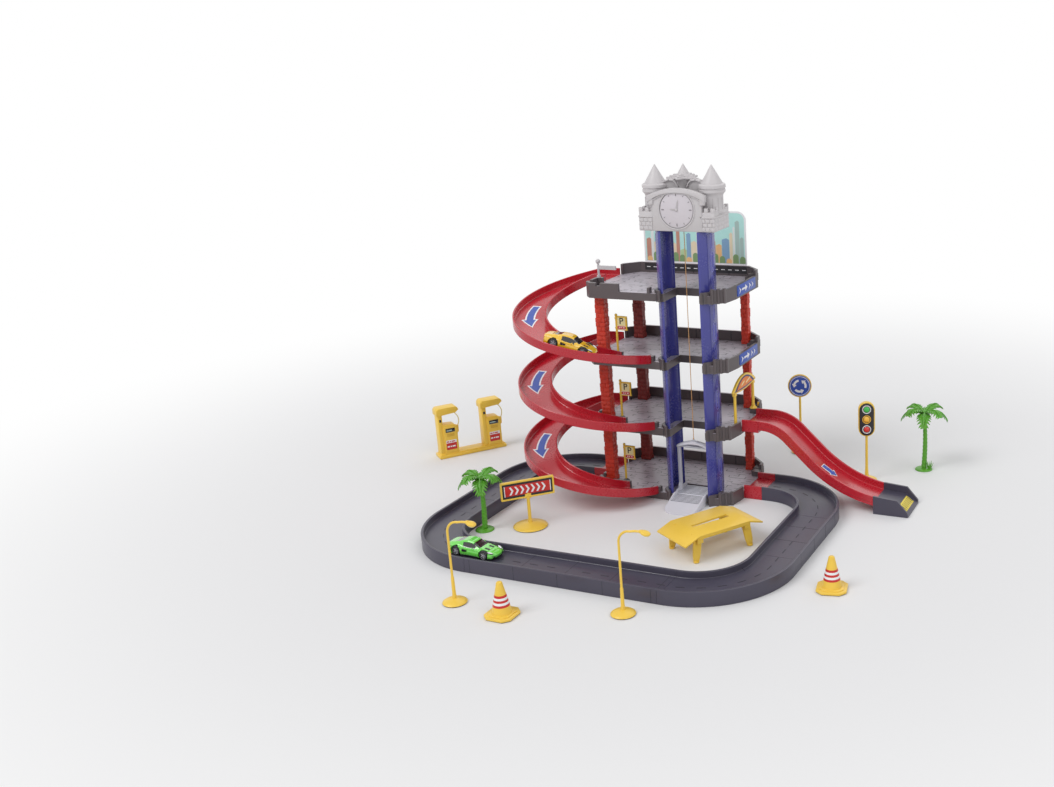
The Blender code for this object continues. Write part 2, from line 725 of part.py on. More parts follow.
def make_slide():
    line = slide_line()
    start_end = DECK_HALF_WIDTH + SLIDE_START_LENGTH
    section = channel(ROAD_WIDTH, SLIDE_WALL, SLIDE_KERB, SLIDE_FLOOR)
    deep = channel(ROAD_WIDTH, SLIDE_WALL, SLIDE_KERB, 2 * SLIDE_FLOOR)
    start = line_between(line, DECK_HALF_WIDTH + GAP, start_end - GAP / 2)
    chute = line_between(line, start_end + GAP / 2, SLIDE_END_FROM + SLIDE_KERB)
    past_joint = box((SLIDE_END_FROM - GAP / 2, -ROAD_WIDTH, 0),
                     (SLIDE_END_FROM + ROAD_WIDTH, ROAD_WIDTH, FLOOR[1]))
    part("slide_start", swept(deep, [(x, 0, z) for x, z in start]), "ramp_red")
    part("slide_chute", cut(swept(section, [(x, 0, z) for x, z in chute]), [past_joint]), "ramp_red")

    joint_x, joint_z = line_between(line, SLIDE_END_FROM + GAP / 2, SLIDE_END_TO)[0]
    lip_start = SLIDE_END_TO - SLIDE_LIP
    end_z = line[-1][1]
    half = ROAD_WIDTH / 2
    kerb_top = joint_z + SLIDE_KERB
    outer = [
        (joint_x, 0), (SLIDE_END_TO, 0), (SLIDE_END_TO, 0.005),
        (lip_start, end_z + SLIDE_KERB), (joint_x, kerb_top)]
    lane = [
        (joint_x - SLIDE_LIP, joint_z), (joint_x, joint_z), (lip_start, end_z), (SLIDE_END_TO + GAP, 0.002),
        (SLIDE_END_TO + SLIDE_LIP, 0.002), (SLIDE_END_TO + SLIDE_LIP, 2 * kerb_top),
        (joint_x - SLIDE_LIP, 2 * kerb_top)]
    hollow = [
        (joint_x + SLIDE_WALL, -0.001), (lip_start, -0.001), (lip_start, end_z - SLIDE_FLOOR),
        (joint_x + SLIDE_WALL, end_z - SLIDE_FLOOR)]
    body = prism(outer, -half, half, axis="Y")
    tools = [
        prism(lane, -half + SLIDE_WALL, half - SLIDE_WALL, axis="Y"),
        prism(hollow, -half + SLIDE_WALL, half - SLIDE_WALL, axis="Y")]
    part("slide_end", cut(body, tools), "road_grey")


# Lift

def make_lift_car(pivot):
    floor = FLOOR[0]
    left = LIFT_X - SHAFT_HALF + CAR_SIDE_GAP
    right = LIFT_X + SHAFT_HALF - CAR_SIDE_GAP
    ribs = 6
    pitch = (CAR_BACK - CAR_FRONT) / ribs
    plate = [(CAR_BACK, floor - 0.006), (CAR_FRONT, floor - 0.006)]
    for rib in range(ribs):
        y = CAR_FRONT + rib * pitch
        middle = y + pitch / 2
        plate += [(y, floor), (middle, floor), (middle, floor - 0.001), (y + pitch, floor - 0.001)]
    base = prism(plate[::-1], left, right, axis="X")
    side = floor + CAR_ARCH
    steps = 8
    outer = [(left, floor - 0.004), (right, floor - 0.004), (right, side)]
    inner_left, inner_right = left + CAR_POST, right - CAR_POST
    inner = [(inner_left, floor - 0.003), (inner_right, floor - 0.003), (inner_right, side - CAR_POST)]
    for step in range(1, steps):
        share = 1 - 2 * step / steps
        rise = CAR_ARCH_RISE * (1 - share * share)
        outer.append((LIFT_X + share * (right - LIFT_X), side + rise))
        inner.append((LIFT_X + share * (right - CAR_POST - LIFT_X), side - CAR_POST + rise))
    outer.append((left, side))
    inner.append((left + CAR_POST, side - CAR_POST))
    arch = prism(outer, LIFT_Y - CAR_POST / 2, LIFT_Y + CAR_POST / 2, axis="Y", holes=[inner])
    cheeks = [
        box((left, CAR_FRONT, floor - 0.004), (left + CAR_POST / 2, CAR_BACK, floor + 0.005)),
        box((right - CAR_POST / 2, CAR_FRONT, floor - 0.004), (right, CAR_BACK, floor + 0.005))]
    crown = side + CAR_ARCH_RISE
    eye = box((LIFT_X - 0.0022, LIFT_Y - 0.0015, crown - 0.001),
              (LIFT_X + 0.0022, LIFT_Y + 0.0015, crown + 0.003))
    part("lift_car", union([base, arch, *cheeks, eye]), "lift_grey", pivot)
    return crown + 0.003


def make_entry_ramp():
    """Ribbed sill in front of the lift that runs out in a smooth round tongue."""
    floor = FLOOR[0]
    back = CAR_FRONT - GAP
    half = SHAFT_HALF - 2 * CAR_SIDE_GAP
    left, right = LIFT_X - half, LIFT_X + half
    tip = back - RAMP_TONGUE
    ribs = 4
    pitch = 0.0045
    side = [(tip, 0), (back, 0), (back, floor)]
    for rib in range(ribs):
        y = back - rib * pitch
        side += [(y - pitch / 2, floor), (y - pitch / 2, floor - 0.001), (y - pitch, floor - 0.001)]
    side += [(back - 0.55 * RAMP_TONGUE, floor - 0.002), (back - 0.85 * RAMP_TONGUE, 0.003), (tip, 0.001)]
    body = prism(side, left - GAP, right + GAP, axis="X")
    round_y = tip + half * 0.55
    plan = [(right, back + GAP), (left, back + GAP)]
    plan += [(LIFT_X + half * math.cos(math.radians(a)), round_y + half * 0.55 * math.sin(math.radians(a)))
             for a in range(180, 361, 20)]
    outline = prism(plan, -GAP, floor + GAP)
    body = combined(body, [outline], "INTERSECT")
    cheek = [
        (back, 0.001), (back, floor + 0.004), (back - 0.010, floor + 0.004),
        (back - 0.60 * RAMP_TONGUE, 0.006), (back - 0.66 * RAMP_TONGUE, 0.001)]
    cheeks = [prism(cheek, left, left + 0.002, axis="X"), prism(cheek, right - 0.002, right, axis="X")]
    part("lift_entry_ramp", union([body, *cheeks]), "lift_grey")


def make_winch(pivot, eye_top):
    """Drum inside the head, its axle through the rear wall, the crank behind it, and the cord."""
    x = LIFT_X - DRUM_RADIUS - CORD_RADIUS
    z = HEAD_BASE + DRUM_RISE
    front = LIFT_Y - 0.006
    back = LIFT_Y + 0.006
    rear_wall = DECK_FRONT + HEAD_DEPTH
    hub = rear_wall + GAP + 0.001
    drum = union([
        rod((x, front, z), (x, back, z), DRUM_RADIUS, sides=16),
        rod((x, front - 0.0015, z), (x, front, z), DRUM_FLANGE, sides=16),
        rod((x, back, z), (x, back + 0.0015, z), DRUM_FLANGE, sides=16),
        rod((x, front - 0.0030, z), (x, hub + 0.004, z), AXLE_RADIUS, sides=10)])
    part("lift_drum", drum, "head_grey", pivot)
    crank = union([
        rod((x, hub, z), (x, hub + 0.005, z), 0.0050, sides=12),
        box((x - 0.0025, hub + 0.0015, z - CRANK_ARM), (x + 0.0025, hub + 0.0045, z)),
        rod((x, hub + 0.0020, z - CRANK_ARM), (x, hub + 0.0150, z - CRANK_ARM), 0.0040, sides=12)])
    crank = cut(crank, [rod((x, hub - 0.001, z), (x, hub + 0.004 + GAP, z), AXLE_RADIUS + GAP, sides=10)])
    part("lift_crank", crank, "head_grey", pivot)
    cord = rod((LIFT_X, LIFT_Y, eye_top + GAP), (LIFT_X, LIFT_Y, z), CORD_RADIUS, sides=8)
    part("lift_cord", cord, "cord_orange")
    return x, z


def star_roof(low, seat):
    """The middle tower behind the gable: a round drum under a star-shaped eave and a pointed cap."""
    x, y = LIFT_X - 0.003, DECK_FRONT + 0.030
    tips, tip_radius, notch_radius = 5, 0.0225, 0.0120
    star = []
    for index in range(2 * tips):
        radius = notch_radius if index % 2 else tip_radius
        angle = math.radians(198 + 180 * index / tips)
        star_y = min(y + radius * math.sin(angle), DECK_FRONT + HEAD_DEPTH - 0.0005)
        star.append((x + radius * math.cos(angle), star_y))
    eave = prism(star, low + EAVE_RISE, low + EAVE_RISE + 0.0045)
    shaft = rod((x, y, seat), (x, y, low + EAVE_RISE + 0.001), 0.0100, sides=12)
    cap = rod((x, y, low + EAVE_RISE + 0.004), (x, y, low + TURRET_TOP), 0.0105, 0.0008, sides=12)
    return [shaft, eave, cap]


def wing(turret_x, inward, low, seat):
    """An arched wall from a turret to the middle tower, highest beside the turret."""
    reach = GABLE_HALF - 0.008
    high, rise, thick = low + 0.0525, 0.0095, 0.0050
    outline = [(turret_x, seat), (turret_x + inward * reach, seat)]
    steps = 7
    for step in range(steps + 1):
        share = 1 - step / steps
        z = high + rise * math.sin(math.pi * (1 - share) ** 0.7)
        outline.append((turret_x + inward * reach * share, z))
    if inward < 0:
        outline.reverse()
    return prism(outline, TURRET_Y - thick / 2, TURRET_Y + thick / 2, axis="Y")


def make_head(drum_x, drum_z):
    low = HEAD_BASE
    front, back = DECK_FRONT, DECK_FRONT + HEAD_DEPTH
    top = low + HEAD_BODY
    shell = box((HEAD_LEFT, front, low), (HEAD_RIGHT, back, top))
    pocket = box((LIFT_X - SHAFT_HALF, front + HEAD_WALL, low - 0.001),
                 (LIFT_X + SHAFT_HALF, back - HEAD_WALL, top - 0.001))
    shell = cut(shell, [pocket])
    merlon = 0.0062
    pieces = []
    for corner_x, inward in ((HEAD_LEFT, 1), (HEAD_RIGHT, -1)):
        for index in range(3):
            near = corner_x + inward * index * 1.4 * merlon
            far = near + inward * merlon * 0.8
            pieces.append(box((min(near, far), front, top - 0.001),
                              (max(near, far), front + HEAD_WALL, top + HEAD_PARAPET)))
            pieces.append(box((min(near, far), back - HEAD_WALL, top - 0.001),
                              (max(near, far), back, top + HEAD_PARAPET)))
        for index in range(1, 4):
            y = front + index * 1.6 * merlon
            near, far = corner_x, corner_x + inward * HEAD_WALL
            pieces.append(box((min(near, far), y, top - 0.001),
                              (max(near, far), y + merlon, top + HEAD_PARAPET)))
    gable = [(LIFT_X - GABLE_HALF, low + 0.002), (LIFT_X + GABLE_HALF, low + 0.002),
             (LIFT_X + GABLE_HALF, low + GABLE_SIDE)]
    steps = 6
    for step in range(1, steps):
        share = 1 - 2 * step / steps
        gable.append((LIFT_X + share * 0.7 * GABLE_HALF, low + GABLE_SIDE + 0.001
                      + (GABLE_TOP - GABLE_SIDE) * (1 - share * share)))
    gable.append((LIFT_X - GABLE_HALF, low + GABLE_SIDE))
    pieces.append(prism(gable, front - 0.0015, front + HEAD_WALL, axis="Y"))
    clock_z = low + CLOCK_RISE
    ring = rod((LIFT_X, front - 0.004, clock_z), (LIFT_X, front, clock_z), CLOCK_RADIUS, sides=24)
    dial_radius = CLOCK_RADIUS - 0.003
    dial = rod((LIFT_X, front - 0.005, clock_z), (LIFT_X, front - 0.0025, clock_z), dial_radius, sides=24)
    pieces.append(cut(ring, [dial]))
    shell = combined(shell, pieces)
    rear_wall = back - HEAD_WALL
    bore = rod((drum_x, rear_wall - 0.001, drum_z), (drum_x, back + 0.001, drum_z),
               AXLE_RADIUS + GAP, sides=10)
    shell = cut(shell, [bore])

    seat = top - 0.002
    ring_low = low + 0.047
    roof = []
    for x in (LIFT_X - GABLE_HALF, LIFT_X + GABLE_HALF):
        tip = low + TURRET_TOP
        turret = [
            (0, tip), (TURRET_RADIUS - 0.003, ring_low + 0.012), (TURRET_RING, ring_low + 0.010),
            (TURRET_RING, ring_low), (TURRET_RADIUS, ring_low - 0.003), (TURRET_RADIUS, seat), (0, seat)]
        roof.append(turned(turret, (x, TURRET_Y, 0), steps=14))
    roof += star_roof(low, seat)
    for turret_x, inward in ((LIFT_X - GABLE_HALF, 1), (LIFT_X + GABLE_HALF, -1)):
        roof.append(wing(turret_x, inward, low, seat))
    part("head", combined(shell, roof), "head_grey")


# Signs on the decks

def make_card():
    low = FLOOR[3] + REAR_PARAPET + GAP
    left, right, high = -0.073, 0.078, low + 0.072
    corner = 0.012
    outline = [(left, low), (right, low)]
    outline += arc(right - corner, high - corner, corner, 0, 90, 4)
    outline += arc(left + corner, high - corner, corner, 90, 180, 4)
    middle = DECK_HALF_DEPTH - PARAPET_THICK / 2
    part("backdrop_card", prism(outline, middle - 0.0006, middle + 0.0006, axis="Y"), "card_print")


def parking_sign(level):
    """A sign plate on a thin post, pushed into the floor."""
    x, y, floor = -DECK_HALF_WIDTH + 0.0325, DECK_FRONT + 0.0235, FLOOR[level]
    height, plate_width, plate_height, plate_thick = 0.053, 0.016, 0.019, 0.0016
    top = floor + height
    foot = rod((x, y, floor - 0.001), (x, y, floor + 0.002), 0.0045, sides=10)
    post = rod((x, y, floor + 0.001), (x, y, top), 0.0015, sides=8)
    plate = box((x, y - plate_thick / 2, top - 0.001 - plate_height),
                (x + plate_width, y + plate_thick / 2, top - 0.001))
    return union([foot, post, plate])


def arch_sign():
    """A leaf-shaped board over the top of the slide, on a post at each side of the opening."""
    floor = FLOOR[1]
    x = DECK_HALF_WIDTH - 0.0065
    post_y = ROAD_WIDTH / 2 + 0.0045
    leaf_half, leaf_low, leaf_rise = post_y + 0.0075, floor + 0.043, 0.0155
    pieces = []
    for y, foot in ((-post_y, floor), (post_y, floor + SIDE_PARAPET)):
        pieces.append(rod((x, y, foot - 0.001), (x, y, foot + 0.0015), 0.0030, sides=8))
        pieces.append(rod((x, y, foot + 0.001), (x, y, leaf_low + 0.004), 0.0017, sides=8))
    leaf = []
    steps = 8
    for step in range(steps + 1):
        share = -1 + 2 * step / steps
        leaf.append((share * leaf_half, leaf_low + 0.004 * share * share))
    for step in range(steps - 1, 0, -1):
        share = -1 + 2 * step / steps
        leaf.append((share * leaf_half, leaf_low + 0.005 + leaf_rise * (1 - share * share)))
    pieces.append(prism(leaf, x - 0.001, x + 0.001, axis="X"))
    return union(pieces)


def ball_post():
    """A grey post with a ball and an arm on the top deck's battlement."""
    low = FLOOR[3] + FRONT_PARAPET
    x, y = -DECK_HALF_WIDTH + 0.005, post_back() - POST_BLOCK / 2
    return union([
        rod((x, y, low - 0.001), (x, y, low + 0.003), POST_BLOCK / 2 - 0.0001, sides=10),
        rod((x, y, low + 0.002), (x, y, low + 0.020), 0.0016, sides=8),
        ball((x, y, low + 0.0215), 0.0033),
        box((x, y - 0.0012, low + 0.011), (x + 0.026, y + 0.0012, low + 0.016))])


# Set pieces

def dome(radius, height, steps=12):
    return turned([(0, height), (0.45 * radius, 0.85 * height), (0.85 * radius, 0.4 * height),
                   (radius, 0.2 * height), (radius, 0), (0, 0)], (0, 0, 0), steps=steps)


def street_lamp():
    height, reach, bend = 0.098, 0.034, 0.014
    path = [(0, 0, 0.004), (0, 0, height - bend)]
    for step in range(1, 5):
        angle = math.pi / 2 * step / 4
        path.append((bend * (1 - math.cos(angle)), 0, height - bend + bend * math.sin(angle)))
    path.append((reach - 0.004, 0, height + 0.002))
    lamp_head = rod((reach - 0.006, 0, height + 0.003), (reach + 0.004, 0, height - 0.001),
                    0.0025, 0.0050, sides=10)
    return union([dome(0.014, 0.006), rod((0, 0, 0.004), (0, 0, 0.030), 0.0025, 0.0016, sides=8),
                  tube(path, 0.0014), lamp_head])


def traffic_cone():
    """A cone on a square foot with cut corners."""
    half, corner = 0.017, 0.0102
    foot = prism([(half, -corner), (half, corner), (corner, half), (-corner, half),
                  (-half, corner), (-half, -corner), (-corner, -half), (corner, -half)], 0, 0.003)
    return union([foot, rod((0, 0, 0.002), (0, 0, 0.040), 0.0115, 0.0030, sides=14)])


def frond(direction, length, droop, rise):
    """A palm leaf: a flat tapering blade that rises from the trunk and then droops."""
    bm = bmesh.new()
    rings = []
    steps = 4
    for step in range(steps + 1):
        share = step / steps
        out = length * share - 0.0014
        z = rise * math.sin(math.pi * min(share * 1.2, 1)) - droop * share * share
        half = max(0.0075 * math.sin(math.pi * (0.12 + 0.80 * share)), 0.0012)
        edge = z - 0.35 * half
        corners = [(out, -half, edge), (out, 0, z - 0.0007), (out, half, edge), (out, 0, z + 0.0009)]
        rings.append([bm.verts.new(corner) for corner in corners])
    for first, second in zip(rings, rings[1:]):
        for index in range(4):
            after = (index + 1) % 4
            bm.faces.new((first[index], first[after], second[after], second[index]))
    bm.faces.new(rings[0][::-1])
    bm.faces.new(rings[-1])
    bmesh.ops.triangulate(bm, faces=bm.faces)
    bmesh.ops.recalc_face_normals(bm, faces=bm.faces)
    return moved(solid("frond", bm), Matrix.Rotation(math.radians(direction), 4, "Z"))


def palm(height, spread, turn, fronds=7):
    crown = height - 0.010
    trunk = tube([(0, 0, 0.001), (0.001, 0, 0.4 * crown), (0, 0, crown + 0.003)], 0.0032)
    foot = rod((0, 0, 0), (0, 0, 0.0025), 0.012, 0.010, sides=10)
    leaves = []
    for index in range(fronds):
        leaf = frond(360 / fronds * index + turn, spread / 2, 0.016 + 0.003 * (index % 2), 0.010)
        leaves.append(moved(leaf, Matrix.Translation((0, 0, crown - 0.0007 * index))))
    return union([foot, trunk, *leaves])


def chevron_sign():
    base = dome(0.022, 0.007, steps=14)
    post = rod((0, 0, 0.005), (0, 0, 0.044), 0.0022, sides=8)
    board = box((-0.0345, -0.0015, 0.040), (0.0345, 0.0015, 0.064))
    return union([base, post, board])


def roundabout_sign():
    base = dome(0.014, 0.006)
    post = rod((0, 0, 0.004), (0, 0, 0.086), 0.0017, sides=8)
    disc = rod((0, -0.0015, 0.101), (0, 0.0015, 0.101), 0.017, sides=20)
    return union([base, post, disc])


def traffic_light():
    base = dome(0.014, 0.006)
    post = rod((0, 0, 0.004), (0, 0, 0.068), 0.0018, sides=8)
    half, low, high = 0.011, 0.064, 0.112
    outline = arc(0, low + half, half, 180, 360, 6) + arc(0, high - half, half, 0, 180, 6)
    housing = prism(outline, -0.004, 0.003, axis="Y")
    lamps = [rod((0, -0.0055, z), (0, -0.003, z), 0.0055, sides=10) for z in (0.074, 0.088, 0.102)]
    return union([base, post, housing, *lamps])


def petrol_pumps():
    """A pair of pumps on one kerb, each with an overhanging top and a hanging nozzle."""
    kerb = box((-0.052, -0.012, 0), (0.052, 0.012, 0.006))
    pieces = [kerb]
    for x in (-0.034, 0.034):
        pieces.append(box((x - 0.014, -0.009, 0.004), (x + 0.014, 0.009, 0.056)))
        pieces.append(box((x - 0.011, -0.007, 0.054), (x + 0.011, 0.007, 0.070)))
        pieces.append(box((x - 0.017, -0.010, 0.068), (x + 0.017, 0.010, 0.077)))
        pieces.append(box((x + 0.0135, -0.003, 0.034), (x + 0.0175, 0.003, 0.072)))
    return union(pieces)


def slotted_bridge():
    """A yellow plate on splayed feet, with a long slot down its middle."""
    length, width, top = 0.112, 0.062, 0.034
    side = [(-length / 2, top - 0.010), (-length / 2 + 0.020, top - 0.002), (length / 2 - 0.020, top - 0.002),
            (length / 2, top - 0.008), (length / 2, top - 0.006), (length / 2 - 0.020, top),
            (-length / 2 + 0.020, top), (-length / 2, top - 0.008)]
    plate = prism(side, -width / 2, width / 2, axis="Y")
    slot = prism([(-0.026, -0.0025), (0.026, -0.0040), (0.026, 0.0040), (-0.026, 0.0025)], 0, 2 * top)
    pieces = []
    for x in (-0.034, 0.034):
        for y in (-0.024, 0.024):
            pieces.append(rod((x * 1.15, y * 1.1, GAP), (x, y, top - 0.001), 0.0024, 0.0036, sides=6))
        pieces.append(box((x - 0.0012, -0.024, top - 0.010), (x + 0.0012, 0.024, top - 0.001)))
    return cut(combined(plate, pieces), [slot])


def make_set_pieces():
    """Each loose piece stands at its distance from the deck, the slide or the road beside it."""
    inner_front = ROAD_FRONT_Y + ROAD_WIDTH / 2
    outer_front = ROAD_FRONT_Y - ROAD_WIDTH / 2
    palm_x, palm_y = -ROAD_SIDE_X + ROAD_WIDTH / 2 + 0.01465, inner_front + 0.0620
    lamp_left = placed(street_lamp(), -ROAD_ARC_X + 0.03755, outer_front - 0.0690)
    lamp_right = placed(street_lamp(), ROAD_ARC_X - 0.02755, outer_front - 0.0320)
    cone = placed(traffic_cone(), -ROAD_ARC_X + 0.10515, outer_front - 0.0780)
    palm_left = placed(palm(0.080, 0.064, 33), palm_x, palm_y)
    palm_right = placed(palm(0.093, 0.072, 12), SLIDE_END_TO - 0.023, DECK_HALF_DEPTH + 0.084)
    chevron = placed(chevron_sign(), palm_x + 0.0505, palm_y + 0.0280, turn=45)
    roundabout = placed(roundabout_sign(), DECK_HALF_WIDTH + 0.012, DECK_HALF_DEPTH + 0.101, turn=20)
    light = placed(traffic_light(), SLIDE_END_TO - 0.086, ROAD_WIDTH / 2 + 0.058, turn=20)
    pumps = placed(petrol_pumps(), -ROAD_SIDE_X - 0.15035, 0.024, turn=53)
    bridge = placed(slotted_bridge(), ROAD_SIDE_X - 0.09565, inner_front + 0.105, turn=58)
    part("street_lamp_left", lamp_left, "yellow")
    part("street_lamp_right", lamp_right, "yellow")
    part("traffic_cone", cone, "yellow")
    part("palm_left", palm_left, "palm_green")
    part("palm_right", palm_right, "palm_green")
    part("chevron_sign", chevron, "yellow")
    part("roundabout_sign", roundabout, "yellow")
    part("traffic_light", light, "yellow")
    part("petrol_pumps", pumps, "yellow")
    part("slotted_bridge", bridge, "yellow")


# Cars

def car_body():
    """A low sports car with its nose at +X, standing on z 0, lofted through sections along its length."""
    half, low = CAR_WIDTH / 2, 0.0022
    # along the car from tail to nose: place, half width, height of the shoulder, roof half width, roof height
    stations = [
        (-0.500, 0.80, 0.0110, 0.60, 0.0125), (-0.430, 0.96, 0.0120, 0.66, 0.0140),
        (-0.280, 1.00, 0.0118, 0.60, 0.0158), (-0.120, 0.96, 0.0108, 0.56, 0.0182),
        (0.030, 0.94, 0.0104, 0.56, 0.0184), (0.170, 0.95, 0.0100, 0.60, 0.0125),
        (0.300, 1.00, 0.0098, 0.62, 0.0108), (0.430, 0.92, 0.0078, 0.60, 0.0086),
        (0.500, 0.62, 0.0055, 0.44, 0.0060)]
    bm = bmesh.new()
    rings = []
    for place, wide, shoulder, roof_wide, roof in stations:
        x = place * CAR_LENGTH
        side = [(half * wide * 0.94, low), (half * wide, 0.45 * shoulder), (half * wide * 0.95, shoulder),
                (half * roof_wide, roof)]
        section = [(-y, z) for y, z in side[::-1]][::-1] + [(y, z) for y, z in side[::-1]]
        rings.append([bm.verts.new((x, y, z)) for y, z in section])
    for first, second in zip(rings, rings[1:]):
        for index in range(len(first)):
            after = (index + 1) % len(first)
            bm.faces.new((first[index], first[after], second[after], second[index]))
    bm.faces.new(rings[0][::-1])
    bm.faces.new(rings[-1])
    bmesh.ops.triangulate(bm, faces=bm.faces)
    bmesh.ops.recalc_face_normals(bm, faces=bm.faces)
    body = solid("car", bm)
    tools = []
    for x in (-WHEELBASE / 2, WHEELBASE / 2):
        axle_start, axle_end = (x, -CAR_WIDTH, WHEEL_RADIUS), (x, CAR_WIDTH, WHEEL_RADIUS)
        tools.append(rod(axle_start, axle_end, AXLE_ROD + GAP, sides=8))
        for side in (-1, 1):
            inner = side * (half - WHEEL_WIDTH - 0.0015)
            outer = (x, side * CAR_WIDTH, WHEEL_RADIUS)
            tools.append(rod((x, inner, WHEEL_RADIUS), outer, WHEEL_RADIUS + WHEEL_CLEAR, sides=12))
    return cut(body, tools)


def wheelset(x):
    half = CAR_WIDTH / 2
    pieces = [rod((x, -half + 0.002, WHEEL_RADIUS), (x, half - 0.002, WHEEL_RADIUS), AXLE_ROD, sides=8)]
    for side in (-1, 1):
        inner, outer = side * (half - WHEEL_WIDTH - 0.0010), side * (half - 0.0010)
        pieces.append(rod((x, inner, WHEEL_RADIUS), (x, outer, WHEEL_RADIUS), WHEEL_RADIUS, sides=16))
    return union(pieces)


def make_car(name, finish, place):
    part(f"{name}_body", moved(car_body(), place), finish)
    for where, x in (("front", WHEELBASE / 2), ("rear", -WHEELBASE / 2)):
        centre = place @ Vector((x, 0, WHEEL_RADIUS))
        pivot = joint_empty(f"{name}_{where}_axle_joint", centre)
        part(f"{name}_{where}_wheels", moved(wheelset(x), place), "wheel_black", pivot)


def make_cars():
    share = (281 - 90) / 272
    before, here, after = [Vector(spiral_place(share + step, FLOOR[3])) for step in (-0.04, 0, 0.04)]
    forward = (after - before).normalized()
    side = Vector((0, 0, 1)).cross(forward).normalized()
    upward = forward.cross(side)
    turn = Matrix((forward, side, upward)).transposed().to_4x4()
    mean = before.lerp(after, 0.5)
    twist_rise = 0.0012    # the ramp's floor is twisted, so two wheels of the car stand clear of it
    seat = mean.lerp(here, 0.5) + upward * (twist_rise + GAP)
    make_car("yellow_car", "car_yellow", Matrix.Translation(seat) @ turn)
    lane = Matrix.Translation((-ROAD_ARC_X - 0.00035, ROAD_FRONT_Y + 0.0035, DECK_THICK + GAP))
    lane = lane @ Matrix.Rotation(math.radians(-3), 4, "Z")
    make_car("green_car", "car_green", lane)


for deck_level, deck_name in enumerate(("deck_ground", "deck_level_1", "deck_level_2", "deck_top")):
    make_deck(deck_name, deck_level)
make_towers()
make_columns()
make_spirals()
make_roads()
make_slide()
lift_pivot = joint_empty("lift_joint", (LIFT_X, LIFT_Y, FLOOR[0]))
winch_pivot = joint_empty("winch_joint", (LIFT_X - DRUM_RADIUS - CORD_RADIUS, LIFT_Y, HEAD_BASE + DRUM_RISE))
eye_height = make_lift_car(lift_pivot)
make_entry_ramp()
axle_x, axle_z = make_winch(winch_pivot, eye_height)
make_head(axle_x, axle_z)
make_card()
make_set_pieces()
make_cars()
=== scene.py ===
import math

import bpy
from mathutils import Matrix, Vector


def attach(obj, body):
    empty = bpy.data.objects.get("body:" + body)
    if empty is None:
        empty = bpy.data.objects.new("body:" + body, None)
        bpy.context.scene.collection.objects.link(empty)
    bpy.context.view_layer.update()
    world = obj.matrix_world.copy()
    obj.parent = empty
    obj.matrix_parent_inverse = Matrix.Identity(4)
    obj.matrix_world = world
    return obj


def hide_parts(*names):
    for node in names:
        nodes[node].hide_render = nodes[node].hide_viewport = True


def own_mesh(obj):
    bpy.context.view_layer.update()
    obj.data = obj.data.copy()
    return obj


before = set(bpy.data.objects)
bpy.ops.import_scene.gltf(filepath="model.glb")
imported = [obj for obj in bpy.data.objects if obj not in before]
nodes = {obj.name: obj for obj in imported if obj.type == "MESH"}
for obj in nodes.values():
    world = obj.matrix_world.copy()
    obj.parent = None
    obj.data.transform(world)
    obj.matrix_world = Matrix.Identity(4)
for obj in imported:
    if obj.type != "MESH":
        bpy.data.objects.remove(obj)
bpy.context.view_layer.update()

bpy.ops.object.select_all(action="DESELECT")
garage = "garage"

view = {
    "place": (0.673, -1.399, 0.5967),
    "azimuth": 24.582,      # degrees to the right of the garage's front
    "elevation": 16.676,
    "roll": -2.525,
    "lens": 41.04,
    "shift": (-0.166, -0.003),
}

deck = {
    "storey": 0.090,
    "floors": (0.010, 0.100, 0.190, 0.280),
    "halfWidth": 0.100,
    "halfDepth": 0.065,
    "thick": 0.010,
    "rearParapet": 0.014,
}
lift = {"x": 0.03965, "y": -0.0475, "drumX": 0.03195, "drumZ": 0.3725, "travel": 0.270}
spiral = {"x": -0.103, "y": -0.057, "radius": 0.074, "sweep": 272, "levelStart": 0.05, "levelEnd": 0.03}


# Handling pieces

def pick(*chosen):
    bpy.ops.object.select_all(action="DESELECT")
    for piece in chosen:
        piece.select_set(True)
    bpy.context.view_layer.objects.active = chosen[0]


def settle(piece):
    # place, turn and size go into the mesh
    pick(piece)
    bpy.ops.object.transform_apply(location=True, rotation=True, scale=True)
    return piece


def softenEdges(piece, width, segments=2, angle=30):
    if width:
        pick(piece)
        bevel = piece.modifiers.new("Soft edges", "BEVEL")
        bevel.width = width
        bevel.segments = segments
        bevel.limit_method = "ANGLE"
        bevel.angle_limit = math.radians(angle)
        bpy.ops.object.modifier_apply(modifier=bevel.name)
    return piece


def give(piece, finish):
    piece.data.materials.clear()
    piece.data.materials.append(finishes[finish])
    return piece


def join(name, pieces):
    pieces = list(pieces)
    pick(*pieces)
    if len(pieces) > 1:
        bpy.ops.object.join()
    pieces[0].name = name
    pieces[0].data.name = name
    return pieces[0]


def copyOf(piece, shift):
    # a copy with its own mesh, moved
    twin = piece.copy()
    twin.data = piece.data.copy()
    bpy.context.scene.collection.objects.link(twin)
    twin.data.transform(Matrix.Translation(shift))
    return twin


def put(piece, x, y, z=0, turn=0):
    # a piece modelled at the origin goes to its place
    piece.data.transform(Matrix.Translation((x, y, z)) @ Matrix.Rotation(math.radians(turn), 4, "Z"))
    return piece


def finishPiece(piece, body=garage, replaced=(), angle=35):
    settle(piece)
    bpy.ops.object.shade_smooth_by_angle(angle=math.radians(angle))
    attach(piece, body)
    if replaced:
        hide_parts(*replaced)
    return piece


def linked(name, data):
    piece = bpy.data.objects.new(name, data)
    bpy.context.scene.collection.objects.link(piece)
    return piece


def inEditMode(piece, *steps):
    pick(piece)
    bpy.ops.object.mode_set(mode="EDIT")
    bpy.ops.mesh.select_all(action="SELECT")
    for step in steps:
        step()
    bpy.ops.object.mode_set(mode="OBJECT")


